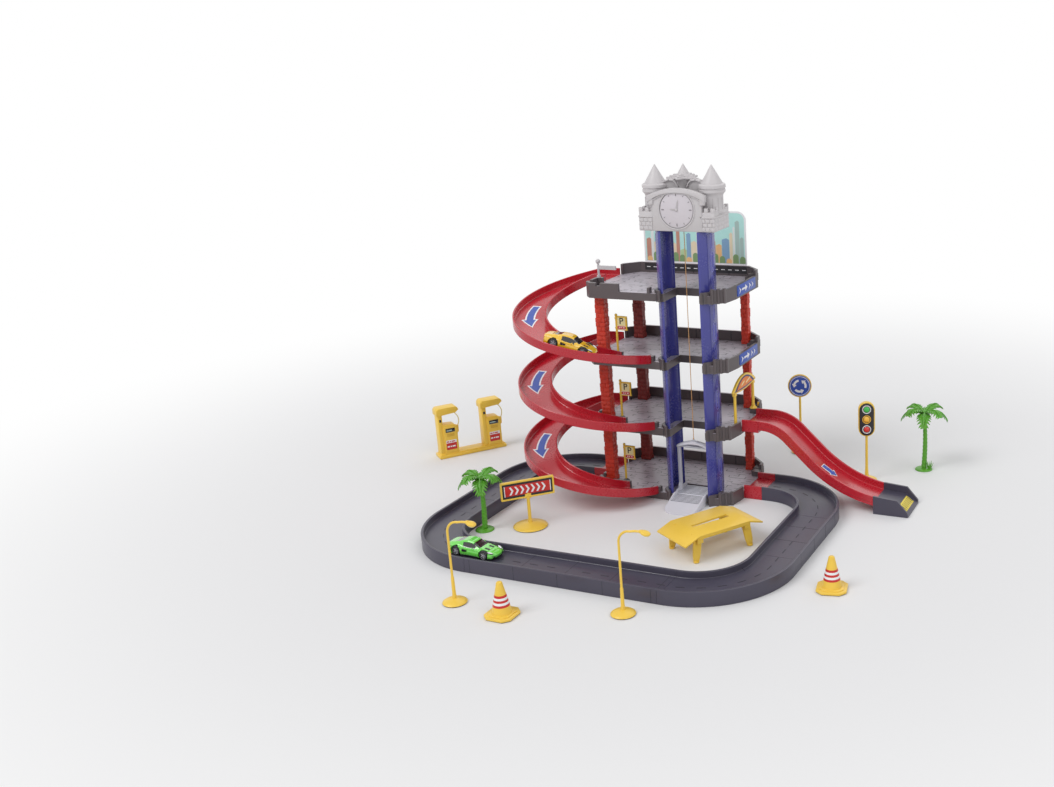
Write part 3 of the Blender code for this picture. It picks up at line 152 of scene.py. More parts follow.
def subdivided(piece, cuts):
    inEditMode(piece, lambda: bpy.ops.mesh.subdivide(number_cuts=cuts))
    return piece


# Shapes

def block(name, low, high, edge=0.0):
    centre = [(a + b) / 2 for a, b in zip(low, high)]
    bpy.ops.mesh.primitive_cube_add(size=1, location=centre)
    piece = bpy.context.object
    piece.name = name
    piece.scale = [b - a for a, b in zip(low, high)]
    settle(piece)
    return softenEdges(piece, edge)


def rod(name, start, end, radius, endRadius=None, sides=32, edge=0.0):
    start, end = Vector(start), Vector(end)
    along = end - start
    bpy.ops.mesh.primitive_cone_add(
        vertices=sides, radius1=radius, radius2=radius if endRadius is None else endRadius,
        depth=along.length, location=(start + end) / 2, rotation=along.to_track_quat("Z", "X").to_euler())
    piece = bpy.context.object
    piece.name = name
    settle(piece)
    return softenEdges(piece, edge, 2, 50)


def ball(name, centre, radius, scale=(1, 1, 1)):
    bpy.ops.mesh.primitive_uv_sphere_add(segments=32, ring_count=16, radius=radius, location=centre)
    piece = bpy.context.object
    piece.name = name
    piece.scale = scale
    return settle(piece)


def asMesh(piece):
    pick(piece)
    bpy.ops.object.convert(target="MESH")
    piece = bpy.context.object
    inEditMode(piece, lambda: bpy.ops.mesh.remove_doubles(threshold=0.000002),
               lambda: bpy.ops.mesh.normals_make_consistent(inside=False))
    return piece


def addLine(curve, points, closed=False):
    spline = curve.splines.new("POLY")
    spline.points.add(len(points) - 1)
    for point, place in zip(spline.points, points):
        point.co = (*place, 1) if len(place) == 3 else (*place, 0, 1)
    spline.use_cyclic_u = closed


def plate(name, outline, low, high, axis="Z", edge=0.0, holes=()):
    # a flat outline made thick: (x, y) along Z, (x, z) along Y, (y, z) along X
    curve = bpy.data.curves.new(name, "CURVE")
    curve.dimensions = "2D"
    curve.fill_mode = "BOTH"
    curve.extrude = (high - low) / 2
    for points in (outline, *holes):
        addLine(curve, points, closed=True)
    piece = asMesh(linked(name, curve))
    middle = (low + high) / 2
    places = {
        "Z": Matrix.Translation((0, 0, middle)),
        "Y": Matrix.Translation((0, middle, 0)) @ Matrix.Rotation(math.pi / 2, 4, "X"),
        "X": Matrix.Translation((middle, 0, 0)) @ Matrix(((0, 0, 1), (1, 0, 0), (0, 1, 0))).to_4x4(),
    }
    piece.data.transform(places[axis])
    return softenEdges(piece, edge)


def tube(name, points, radius, closed=False, resolution=3):
    curve = bpy.data.curves.new(name, "CURVE")
    curve.dimensions = "3D"
    curve.bevel_depth = radius
    curve.bevel_resolution = resolution
    curve.use_fill_caps = not closed
    addLine(curve, points, closed)
    return asMesh(linked(name, curve))


def turned(name, profile, x=0, y=0, z=0, steps=40):
    # a profile of (radius, height) spun about an upright axis
    mesh = bpy.data.meshes.new(name)
    edges = [(index, index + 1) for index in range(len(profile) - 1)]
    mesh.from_pydata([(radius, 0, height) for radius, height in profile], edges, [])
    piece = linked(name, mesh)
    pick(piece)
    screw = piece.modifiers.new("Turn", "SCREW")
    screw.steps = screw.render_steps = steps
    screw.use_merge_vertices = True
    screw.merge_threshold = 0.000001
    bpy.ops.object.modifier_apply(modifier=screw.name)
    return put(asMesh(piece), x, y, z)


def lettering(name, words, height, thick):
    # a raised sign mark, flat in XZ and facing -Y, centred on the origin
    bpy.ops.object.text_add()
    piece = bpy.context.object
    piece.name = name
    piece.data.body = words
    piece.data.size = height
    piece.data.extrude = thick / 2
    piece.data.align_x = "CENTER"
    piece.data.align_y = "CENTER"
    piece = asMesh(piece)
    piece.data.transform(Matrix.Rotation(math.pi / 2, 4, "X"))
    return piece


def arc(x, y, radius, start, end, steps):
    angles = [math.radians(start + (end - start) * step / steps) for step in range(steps + 1)]
    return [(x + radius * math.cos(angle), y + radius * math.sin(angle)) for angle in angles]


def ring(x, y, z, wide, tall, steps):
    # a round or oval line facing -Y
    angles = [math.tau * step / steps for step in range(steps)]
    return [(x + wide * math.cos(angle), y, z + tall * math.sin(angle)) for angle in angles]


def roundedBox(left, low, right, high, corner, steps=6):
    corners = ((right - corner, low + corner, -90), (right - corner, high - corner, 0),
               (left + corner, high - corner, 90), (left + corner, low + corner, 180))
    return [point for x, y, turn in corners for point in arc(x, y, corner, turn, turn + 90, steps)]


# Materials

def linear(red, green, blue):
    # a screen colour from 0 to 255, as Blender's shaders take it
    def one(value):
        value = value / 255
        return value / 12.92 if value <= 0.04045 else ((value + 0.055) / 1.055) ** 2.4
    return (one(red), one(green), one(blue), 1)


def node(tree, kind, **inputs):
    made = tree.nodes.new(kind)
    for name, value in inputs.items():
        made.inputs[name.replace("_", " ")].default_value = value
    return made


def maths(tree, operation, first, second=0.0):
    made = tree.nodes.new("ShaderNodeMath")
    made.operation = operation
    for socket, value in zip(made.inputs, (first, second)):
        if isinstance(value, (int, float)):
            socket.default_value = value
        else:
            tree.links.new(value, socket)
    return made.outputs[0]


def mixed(tree, share, first, second):
    made = tree.nodes.new("ShaderNodeMix")
    made.data_type = "RGBA"
    for socket, value in ((made.inputs[0], share), (made.inputs[6], first), (made.inputs[7], second)):
        if hasattr(value, "links"):
            tree.links.new(value, socket)
        else:
            socket.default_value = value
    return made.outputs[2]


def upwards(tree, vector):
    split = tree.nodes.new("ShaderNodeSeparateXYZ")
    tree.links.new(vector, split.inputs[0])
    return split.outputs[2]


def makeMouldedGroup():
    # colour drift, uneven gloss and the fine skin of moulded plastic
    group = bpy.data.node_groups.new("mouldedPlastic", "ShaderNodeTree")
    for name, kind in (("Colour", "NodeSocketColor"), ("Gloss", "NodeSocketFloat"), ("Drift", "NodeSocketFloat"),
                       ("Grain", "NodeSocketFloat")):
        group.interface.new_socket(name, in_out="INPUT", socket_type=kind)
    for name, kind in (("Colour", "NodeSocketColor"), ("Roughness", "NodeSocketFloat"),
                       ("Normal", "NodeSocketVector")):
        group.interface.new_socket(name, in_out="OUTPUT", socket_type=kind)
    entry = group.nodes.new("NodeGroupInput")
    leave = group.nodes.new("NodeGroupOutput")
    place = group.nodes.new("ShaderNodeTexCoord").outputs["Object"]
    broad = node(group, "ShaderNodeTexNoise", Scale=38.0, Detail=3.0)
    fine = node(group, "ShaderNodeTexNoise", Scale=420.0, Detail=2.0)
    skin = node(group, "ShaderNodeTexNoise", Scale=1500.0, Detail=2.0)
    for texture in (broad, fine, skin):
        group.links.new(place, texture.inputs["Vector"])
    swing = maths(group, "MULTIPLY", maths(group, "SUBTRACT", broad.outputs["Fac"], 0.5),
                  maths(group, "MULTIPLY", entry.outputs["Drift"], 0.6))
    value = maths(group, "ADD", swing, 1.0)
    tint = group.nodes.new("ShaderNodeHueSaturation")
    group.links.new(value, tint.inputs["Value"])
    group.links.new(entry.outputs["Colour"], tint.inputs["Color"])
    uneven = maths(group, "MULTIPLY", maths(group, "SUBTRACT", fine.outputs["Fac"], 0.5), 0.08)
    smudge = maths(group, "MULTIPLY", maths(group, "SUBTRACT", broad.outputs["Fac"], 0.5), 0.14)
    rough = maths(group, "ADD", entry.outputs["Gloss"], maths(group, "ADD", uneven, smudge))
    bump = node(group, "ShaderNodeBump", Distance=0.00006)
    group.links.new(entry.outputs["Grain"], bump.inputs["Strength"])
    group.links.new(skin.outputs["Fac"], bump.inputs["Height"])
    group.links.new(tint.outputs["Color"], leave.inputs["Colour"])
    group.links.new(rough, leave.inputs["Roughness"])
    group.links.new(bump.outputs["Normal"], leave.inputs["Normal"])
    return group


mouldedPlastic = makeMouldedGroup()


def plastic(name, colour, gloss=0.35, drift=0.25, grain=0.12, coat=0.0, through=0.0, paint=None):
    # paint(tree) may give a varying colour and a height for extra relief
    material = bpy.data.materials.new(name)
    material.use_nodes = True
    tree = material.node_tree
    shader = tree.nodes["Principled BSDF"]
    surface = tree.nodes.new("ShaderNodeGroup")
    surface.node_tree = mouldedPlastic
    surface.inputs["Colour"].default_value = colour
    surface.inputs["Gloss"].default_value = gloss
    surface.inputs["Drift"].default_value = drift
    surface.inputs["Grain"].default_value = grain
    normal = surface.outputs["Normal"]
    if paint:
        shade, height = paint(tree)
        tree.links.new(shade, surface.inputs["Colour"])
        if height is not None:
            relief = node(tree, "ShaderNodeBump", Strength=0.6, Distance=0.0004)
            tree.links.new(height, relief.inputs["Height"])
            tree.links.new(normal, relief.inputs["Normal"])
            normal = relief.outputs["Normal"]
    tree.links.new(surface.outputs["Colour"], shader.inputs["Base Color"])
    tree.links.new(surface.outputs["Roughness"], shader.inputs["Roughness"])
    tree.links.new(normal, shader.inputs["Normal"])
    shader.inputs["Coat Weight"].default_value = coat
    shader.inputs["Coat Roughness"].default_value = 0.12
    if through:
        shader.inputs["Subsurface Weight"].default_value = through
        shader.inputs["Subsurface Radius"].default_value = (0.004, 0.003, 0.003)
        shader.inputs["Subsurface Scale"].default_value = 1.0
    return material


deckPaint = {
    "edge": linear(92, 84, 86),
    "floor": linear(186, 178, 188),
    "dash": linear(96, 90, 98),
    "brickWidth": 0.024,
    "rowHeight": 0.0072,
    "lineWidth": 0.0007,
    "floorBand": 0.0006,
    "facingUp": 0.9,
    "brokenScale": 95.0,
    "brokenOver": 0.52,
}


def deckShades(tree):
    # pale paved floors with broken dark joints, one band above each deck's base
    place = tree.nodes.new("ShaderNodeTexCoord").outputs["Object"]
    above = maths(tree, "SUBTRACT", upwards(tree, place), deck["thick"])
    turn = maths(tree, "DIVIDE", maths(tree, "ADD", above, 0.5 * deck["storey"]), deck["storey"])
    offset = maths(tree, "ABSOLUTE", maths(tree, "SUBTRACT", maths(tree, "FRACT", turn), 0.5))
    atFloor = maths(tree, "LESS_THAN", offset, deckPaint["floorBand"] / deck["storey"])
    normal = tree.nodes.new("ShaderNodeNewGeometry").outputs["Normal"]
    floor = maths(tree, "MULTIPLY", atFloor, maths(tree, "GREATER_THAN", upwards(tree, normal),
                                                   deckPaint["facingUp"]))
    bricks = node(tree, "ShaderNodeTexBrick", Scale=1.0, Mortar_Size=deckPaint["lineWidth"], Mortar_Smooth=0.1,
                  Brick_Width=deckPaint["brickWidth"], Row_Height=deckPaint["rowHeight"])
    tree.links.new(place, bricks.inputs["Vector"])
    broken = node(tree, "ShaderNodeTexNoise", Scale=deckPaint["brokenScale"], Detail=0.0)
    tree.links.new(place, broken.inputs["Vector"])
    kept = maths(tree, "GREATER_THAN", broken.outputs["Fac"], deckPaint["brokenOver"])
    dash = maths(tree, "MULTIPLY", maths(tree, "MULTIPLY", bricks.outputs["Fac"], kept), floor)
    shade = mixed(tree, floor, deckPaint["edge"], deckPaint["floor"])
    return mixed(tree, dash, shade, deckPaint["dash"]), maths(tree, "SUBTRACT", 1.0, dash)


finishes = {
    "deck": plastic("deckPlastic", deckPaint["edge"], gloss=0.34, drift=0.18, paint=deckShades),
    "tower": plastic("towerBlue", linear(66, 68, 148), gloss=0.26, drift=0.12, grain=0.05, coat=0.4),
    "column": plastic("columnRed", linear(208, 58, 38), gloss=0.42, drift=0.5, grain=0.3),
    "ramp": plastic("rampRed", linear(184, 28, 44), gloss=0.28, drift=0.25, grain=0.05, coat=0.35),
    "road": plastic("roadGrey", linear(70, 67, 82), gloss=0.32, drift=0.35, grain=0.2),
    "head": plastic("headGrey", linear(204, 200, 202), gloss=0.45, drift=0.12, grain=0.2),
    "lift": plastic("liftGrey", linear(220, 220, 229), gloss=0.32, drift=0.15, grain=0.08, coat=0.2),
    "yellow": plastic("signYellow", linear(240, 200, 76), gloss=0.36, drift=0.2, grain=0.1),
    "dark": plastic("darkPrint", linear(40, 38, 42), gloss=0.4),
    "white": plastic("whitePrint", linear(238, 238, 240), gloss=0.4, drift=0.08),
    "redPrint": plastic("redPrint", linear(200, 40, 36), gloss=0.36),
    "bluePrint": plastic("bluePrint", linear(40, 78, 168), gloss=0.36),
    "orangePrint": plastic("orangePrint", linear(232, 130, 40), gloss=0.4),
    "greenLamp": plastic("greenLamp", linear(60, 190, 80), gloss=0.2, coat=0.5),
    "amberLamp": plastic("amberLamp", linear(246, 190, 60), gloss=0.2, coat=0.5),
    "redLamp": plastic("redLamp", linear(220, 50, 44), gloss=0.2, coat=0.5),
    "palm": plastic("palmGreen", linear(88, 158, 44), gloss=0.4, drift=0.7, grain=0.2, through=0.1),
    "carYellow": plastic("carYellow", linear(244, 196, 44), gloss=0.16, drift=0.08, grain=0.0, coat=1.0),
    "carGreen": plastic("carGreen", linear(110, 220, 80), gloss=0.16, drift=0.08, grain=0.0, coat=1.0),
    "tyre": plastic("wheelRubber", linear(36, 36, 38), gloss=0.6, drift=0.2, grain=0.4),
    "rim": plastic("wheelRim", linear(170, 170, 176), gloss=0.25, drift=0.1),
    "window": plastic("windowTint", linear(22, 24, 28), gloss=0.08, drift=0.0, grain=0.0, coat=1.0),
    "cord": plastic("cordOrange", linear(222, 170, 112), gloss=0.75, drift=0.3, grain=0.5),
    # a darker copy of the column red: painted shade for the rear left column
    "columnDark": plastic("columnShade", linear(132, 42, 36), gloss=0.5, drift=0.5, grain=0.3),
    "rampDark": plastic("rampLine", linear(150, 20, 34), gloss=0.4),
    # a lighter copy of the tower blue: painted highlight on the oval and slot mouldings
    "towerPaintedHighlight": plastic("towerEdgePaintedHighlight", linear(112, 112, 200), gloss=0.24, drift=0.2, grain=0.04, coat=0.4),
    "arrowBlue": plastic("arrowBlue", linear(52, 84, 176), gloss=0.34),
    "navy": plastic("navyPrint", linear(38, 44, 104), gloss=0.36),
    "lane": plastic("laneMark", linear(44, 44, 52), gloss=0.5),
    "stickerYellow": plastic("stickerYellow", linear(236, 214, 70), gloss=0.36),
    "cream": plastic("creamPrint", linear(240, 232, 176), gloss=0.4, drift=0.08),
    "headLine": plastic("headLine", linear(140, 136, 140), gloss=0.5),
    "headDial": plastic("headDial", linear(212, 206, 212), gloss=0.4, drift=0.1),
    # a darker copy of the head grey: painted shade on the turret flutes, the shaft under the eave, the wing screens
    # and the clock hands
    "headPaintedShade": plastic("headPaintedShade", linear(186, 182, 184), gloss=0.48, drift=0.14, grain=0.2),
    # a darker copy of the sign yellow: painted shade in the pump slots
    "yellowPaintedShade": plastic("yellowPaintedShade", linear(196, 150, 36), gloss=0.4),
    "cardSky": plastic("cardSky", linear(186, 232, 226), gloss=0.4, drift=0.3),
    "cardWhite": plastic("cardWhite", linear(226, 232, 230), gloss=0.4),
    "cardSand": plastic("cardSand", linear(232, 216, 186), gloss=0.4),
    "cardRust": plastic("cardRust", linear(196, 142, 124), gloss=0.4),
    "cardOrange": plastic("cardOrange", linear(236, 188, 132), gloss=0.4),
    "cardGreen": plastic("cardGreen", linear(182, 206, 160), gloss=0.4),
    "cardBlue": plastic("cardBlue", linear(132, 168, 200), gloss=0.4),
    "cardGrey": plastic("cardGrey", linear(172, 196, 190), gloss=0.4),
    "cardBush": plastic("cardBush", linear(126, 156, 108), gloss=0.5),
    # painted shade: dark strips in the grooves of the lift floor and the entry ramp
    "liftPaintedShade": plastic("liftPaintedShade", linear(82, 82, 98), gloss=0.5),
    "trim": plastic("trimDark", linear(58, 54, 58), gloss=0.3),
    # a pale strip on the rear parapet tops: painted highlight
    "deckRimPaintedHighlight": plastic("deckRimPaintedHighlight", linear(200, 192, 198), gloss=0.25, coat=0.2),
}
print("materials made:", len(finishes))


# CAD nodes keep their shape and take these finishes

def paintWhere(name, finish, chosen):
    mesh = nodes[name].data
    mesh.materials.append(finishes[finish])
    index = len(mesh.materials) - 1
    for face in mesh.polygons:
        if chosen(face.center):
            face.material_index = index


cadFinishes = {"deck_": "deck", "tower_": "tower", "column_": "column", "spiral_ramp_": "ramp",
               "road_connector_": "ramp", "road_": "road", "slide_end": "road", "slide_": "ramp", "head": "head",
               "lift_cord": "cord", "lift_drum": "head", "lift_crank": "head", "lift_": "lift",
               "backdrop_card": "white", "palm_": "palm", "yellow_car_body": "carYellow",
               "green_car_body": "carGreen", "yellow_car_": "tyre", "green_car_": "tyre"}
for name, piece in nodes.items():
    found = [finish for start, finish in cadFinishes.items() if name.startswith(start)]
    give(piece, found[0] if found else "yellow")
for level, name in enumerate(("deck_ground", "deck_level_1", "deck_level_2")):
    low = deck["floors"][level] + 0.0006
    paintWhere(name, "yellow", lambda at: -0.074 < at.x < -0.050 and -0.0475 < at.y < -0.0355 and at.z > low)
paintWhere("deck_level_1", "yellow", lambda at: 0.0890 < at.x < 0.0980 and abs(at.y) < 0.0400 and at.z > 0.1085)
paintWhere("deck_top", "head", lambda at: at.x < -0.068 and -0.0345 < at.y < -0.0270 and at.z > 0.2905)
print("CAD nodes dressed:", len(nodes))


# Sweeps: ramps, roads and the slide

def sweep(name, section, path):
    # a closed outline of (across, up) carried along a line of points, upright all the way
    outline = bpy.data.curves.new(f"{name}Section", "CURVE")
    outline.dimensions = "2D"
    addLine(outline, section, closed=True)
    shape = linked(f"{name}Section", outline)
    line = bpy.data.curves.new(name, "CURVE")
    line.dimensions = "3D"
    line.twist_mode = "Z_UP"
    line.bevel_mode = "OBJECT"
    line.bevel_object = shape
    line.use_fill_caps = True
    addLine(line, path)
    piece = asMesh(linked(name, line))
    bpy.data.objects.remove(shape)
    return piece


def carve(piece, tool, operation="DIFFERENCE"):
    pick(piece)
    cut = piece.modifiers.new("Carve", "BOOLEAN")
    cut.operation = operation
    cut.solver = "EXACT"
    cut.object = tool
    bpy.ops.object.modifier_apply(modifier=cut.name)
    bpy.data.objects.remove(tool)
    return piece


def channel(width, wall, kerb, skin):
    # a floor between two kerbs with rounded tops, its running face at height 0
    half, soft = width / 2, 0.0006
    right = [(half, -skin + soft), (half, kerb - soft), (half - soft, kerb), (half - wall + soft, kerb),
             (half - wall, kerb - soft), (half - wall, soft), (half - wall - soft, 0)]
    left = [(-across, up) for across, up in right[::-1]]
    return [(-half + soft, -skin), (half - soft, -skin), *right, *left]


def nodeBox(name):
    corners = [nodes[name].matrix_world @ Vector(corner) for corner in nodes[name].bound_box]
    return ([min(corner[axis] for corner in corners) for axis in range(3)],
            [max(corner[axis] for corner in corners) for axis in range(3)])


ramp = {
    "width": 0.0444,
    "kerb": 0.009,
    "wall": 0.0022,
    "skin": 0.0025,
    "steps": 110,
    "front": -0.0653,        # the deck's front edge, where a ramp ends
    "arrowAt": 202,          # angle of the sticker's middle round the spiral
    "arrowWhite": [(-0.0285, -0.0066), (0.0070, -0.0066), (0.0070, -0.0112), (0.0290, 0.0012), (0.0070, 0.0112),
                   (0.0070, 0.0066), (-0.0285, 0.0066)],
    "arrowBlue": [(-0.0263, -0.0044), (0.0090, -0.0044), (0.0090, -0.0080), (0.0254, 0.0010), (0.0090, 0.0080),
                  (0.0090, 0.0044), (-0.0263, 0.0044)],
}


def rampFall(angle):
    share = (angle - 90) / spiral["sweep"]
    falling = 1 - spiral["levelStart"] - spiral["levelEnd"]
    return deck["storey"] * min(max((share - spiral["levelStart"]) / falling, 0), 1)


def rampPlace(angle, radius, top):
    turn = math.radians(angle)
    return (spiral["x"] + radius * math.cos(turn), spiral["y"] + radius * math.sin(turn), top - rampFall(angle))


def makeRamps():
    names = ("spiral_ramp_lower", "spiral_ramp_middle", "spiral_ramp_upper")
    tops = deck["floors"][1:]
    path = [(-deck["halfWidth"] - 0.0003, spiral["y"] + spiral["radius"], tops[0])]
    for step in range(ramp["steps"] + 1):
        path.append(rampPlace(90 + spiral["sweep"] * step / ramp["steps"], spiral["radius"], tops[0]))
    first = sweep("spiralRamp", channel(ramp["width"], ramp["wall"], ramp["kerb"], ramp["skin"]), path)
    beyond = block("beyond", (-0.092, ramp["front"], -0.1), (0.1, 0.1, 0.3))
    carve(first, beyond)
    for index, name in enumerate(names):
        piece = copyOf(first, (0, 0, index * deck["storey"]))
        piece.name = f"spiralRamp{index + 1}"
        give(piece, "ramp")
        finishPiece(piece, garage, [name])
        marks = []
        for outline, thick, finish in ((ramp["arrowWhite"], 0.0002, "white"),
                                       (ramp["arrowBlue"], 0.0004, "arrowBlue")):
            mark = subdivided(plate("arrow", outline, 0, thick), 3)
            for vertex in mark.data.vertices:
                along, across, above = vertex.co
                angle = ramp["arrowAt"] + math.degrees(along / spiral["radius"])
                x, y, z = rampPlace(angle, spiral["radius"] - across, tops[index])
                vertex.co = (x, y, z + above + 0.00005)
            marks.append(give(mark, finish))
        finishPiece(join(f"rampArrow{index + 1}", marks), garage)
    bpy.data.objects.remove(first)


road = {
    "width": 0.054,
    "kerbTop": 0.018,
    "lane": 0.010,
    "kerb": 0.0035,
    "wall": 0.002,
    "skin": 0.002,
    "joint": 0.12515,
    "stub": 0.011,
    "side": 0.21615,
    "rearRadius": 0.080,
    "rearEnd": -0.082,
    "frontEnd": -0.207,
    "arcX": 0.12815,
    "arcY": -0.229,
    "frontRadius": 0.088,
    "frontY": -0.317,
    "gap": 0.00015,
    "dash": (0.0105, 0.0011),
    "dashPitch": 0.0235,
}


def roadSection():
    half, soft = road["width"] / 2, 0.0008
    top, lane, inner = road["kerbTop"], road["lane"], road["width"] / 2 - road["kerb"]
    right = [(half, 0.0004), (half, top - soft), (half - 0.3 * soft, top - 0.3 * soft), (half - soft, top),
             (inner + soft, top), (inner + 0.3 * soft, top - 0.3 * soft), (inner, top - soft),
             (inner, lane + 0.0005), (inner - 0.0005, lane)]
    under = [(-half, 0.0004), (-half + 0.0004, 0), (-half + road["wall"], 0),
             (-half + road["wall"], lane - road["skin"]), (half - road["wall"], lane - road["skin"]),
             (half - road["wall"], 0), (half - 0.0004, 0)]
    return under + right + [(-across, up) for across, up in right[:0:-1]]


def roadPaths():
    joint, side, steps = road["joint"], road["side"], 36
    rear = [(joint, 0)] + arc(joint + road["stub"], -road["rearRadius"], road["rearRadius"], 90, 0, steps)
    rear += [(side, road["rearEnd"])]
    front = [(side, road["frontEnd"])] + arc(road["arcX"], road["arcY"], road["frontRadius"], 0, -90, steps)
    front += [(road["arcX"] - 0.003, road["frontY"])]
    return {
        "road_connector": [(deck["halfWidth"] + road["gap"], 0), (joint, 0)],
        "road_rear_curve": rear,
        "road_side_straight": [(side, road["rearEnd"]), (side, road["frontEnd"])],
        "road_front_curve": front,
        "road_front_straight": [(road["arcX"] - 0.003, road["frontY"]), (0, road["frontY"])],
    }


def shortened(path, gap):
    # both ends stop short of the joint
    points = [Vector((*point, 0)) for point in path]
    points[0] += (points[1] - points[0]).normalized() * gap
    points[-1] += (points[-2] - points[-1]).normalized() * gap
    return points


def makeRoads():
    section = roadSection()
    for name, path in roadPaths().items():
        for hand, sign in (("right", 1), ("left", -1)):
            line = shortened([(sign * x, y) for x, y in path], road["gap"])
            piece = sweep(f"{name}{hand.title()}".replace("_", ""), section, line)
            red = name == "road_connector"
            give(piece, "ramp" if red else "road")
            finishPiece(piece, garage, [f"{name}_{hand}"])
    # lane dashes all the way round, from joint to joint
    line = []
    paths = roadPaths()
    for name in ("road_rear_curve", "road_side_straight", "road_front_curve", "road_front_straight"):
        line += [Vector((*point, 0)) for point in paths[name]]
    half = [line[0]]
    for point in line[1:]:
        if (point - half[-1]).length > 0.0001:
            half.append(point)
    dashes = []
    long, wide = road["dash"]
    for sign in (1, -1):
        travelled, wanted = 0.0, 0.5 * road["dashPitch"]
        for start, end in zip(half, half[1:]):
            step = (end - start).length
            while wanted <= travelled + step:
                at = start.lerp(end, (wanted - travelled) / step)
                heading = math.degrees(math.atan2(end.y - start.y, sign * (end.x - start.x)))
                dash = block("dash", (-long / 2, -wide / 2, 0), (long / 2, wide / 2, 0.0002))
                dashes.append(put(dash, sign * at.x, at.y, road["lane"] + 0.00003, heading))
                wanted += road["dashPitch"]
            travelled += step
    for dash in dashes:
        give(dash, "lane")
    finishPiece(join("laneDashes", dashes), garage)
    # upright seams on the outer wall and across the lane, where the moulded pieces meet
    seams = []
    for x in (-0.118, -0.058, 0.0, 0.058, 0.118):
        seams.append(block("seam", (x - 0.0003, road["frontY"] - 0.02708, 0.001),
                           (x + 0.0003, road["frontY"] - 0.0268, 0.0172)))
        seams.append(block("seam", (x - 0.0003, road["frontY"] - 0.0232, 0.0099),
                           (x + 0.0003, road["frontY"] + 0.0232, 0.01008)))
    for sign in (-1, 1):
        for y in (-0.118, -0.160):
            x = sign * (road["side"] + 0.0270)
            seams.append(block("seam", (x - 0.0001, y - 0.0003, 0.001), (x + 0.0001, y + 0.0003, 0.0172)))
            seams.append(block("seam", (sign * road["side"] - 0.0232, y - 0.0003, 0.0099),
                               (sign * road["side"] + 0.0232, y + 0.0003, 0.01008)))
    for seam in seams:
        give(seam, "lane")
    finishPiece(join("roadSeams", seams), garage)


slide = {
    "level": 0.026,
    "crest": 0.049,
    "angle": math.radians(43.8),
    "run": 0.030,
    "foot": 0.164,
    "start": 0.023,
    "endFrom": 0.276,
    "endTo": 0.321,
    "lip": 0.014,
    "kerb": 0.009,
    "wall": 0.003,
    "floor": 0.0035,
}


def slideLine():
    x, z = deck["halfWidth"] + slide["level"], deck["floors"][1]
    points = [(deck["halfWidth"] + 0.0003, z), (x - 0.004, z)]
    for step in range(25):
        angle = slide["angle"] * step / 24
        points.append((x + slide["crest"] * math.sin(angle), z - slide["crest"] * (1 - math.cos(angle))))
    x, z = points[-1][0] + slide["run"], points[-1][1] - slide["run"] * math.tan(slide["angle"])
    for step in range(41):
        angle = slide["angle"] * (1 - step / 40)
        points.append((x + slide["foot"] * (math.sin(slide["angle"]) - math.sin(angle)),
                       z - slide["foot"] * (math.cos(angle) - math.cos(slide["angle"]))))
    return points


def slideHeight(x):
    line = slideLine()
    for (x0, z0), (x1, z1) in zip(line, line[1:]):
        if x0 <= x <= x1:
            return z0 + (z1 - z0) * (x - x0) / (x1 - x0)
    return line[-1][1]


def slideStretch(start, end):
    inner = [(x, z) for x, z in slideLine() if start + 0.0005 < x < end - 0.0005]
    return [(x, 0, z) for x, z in [(start, slideHeight(start)), *inner, (end, slideHeight(end))]]


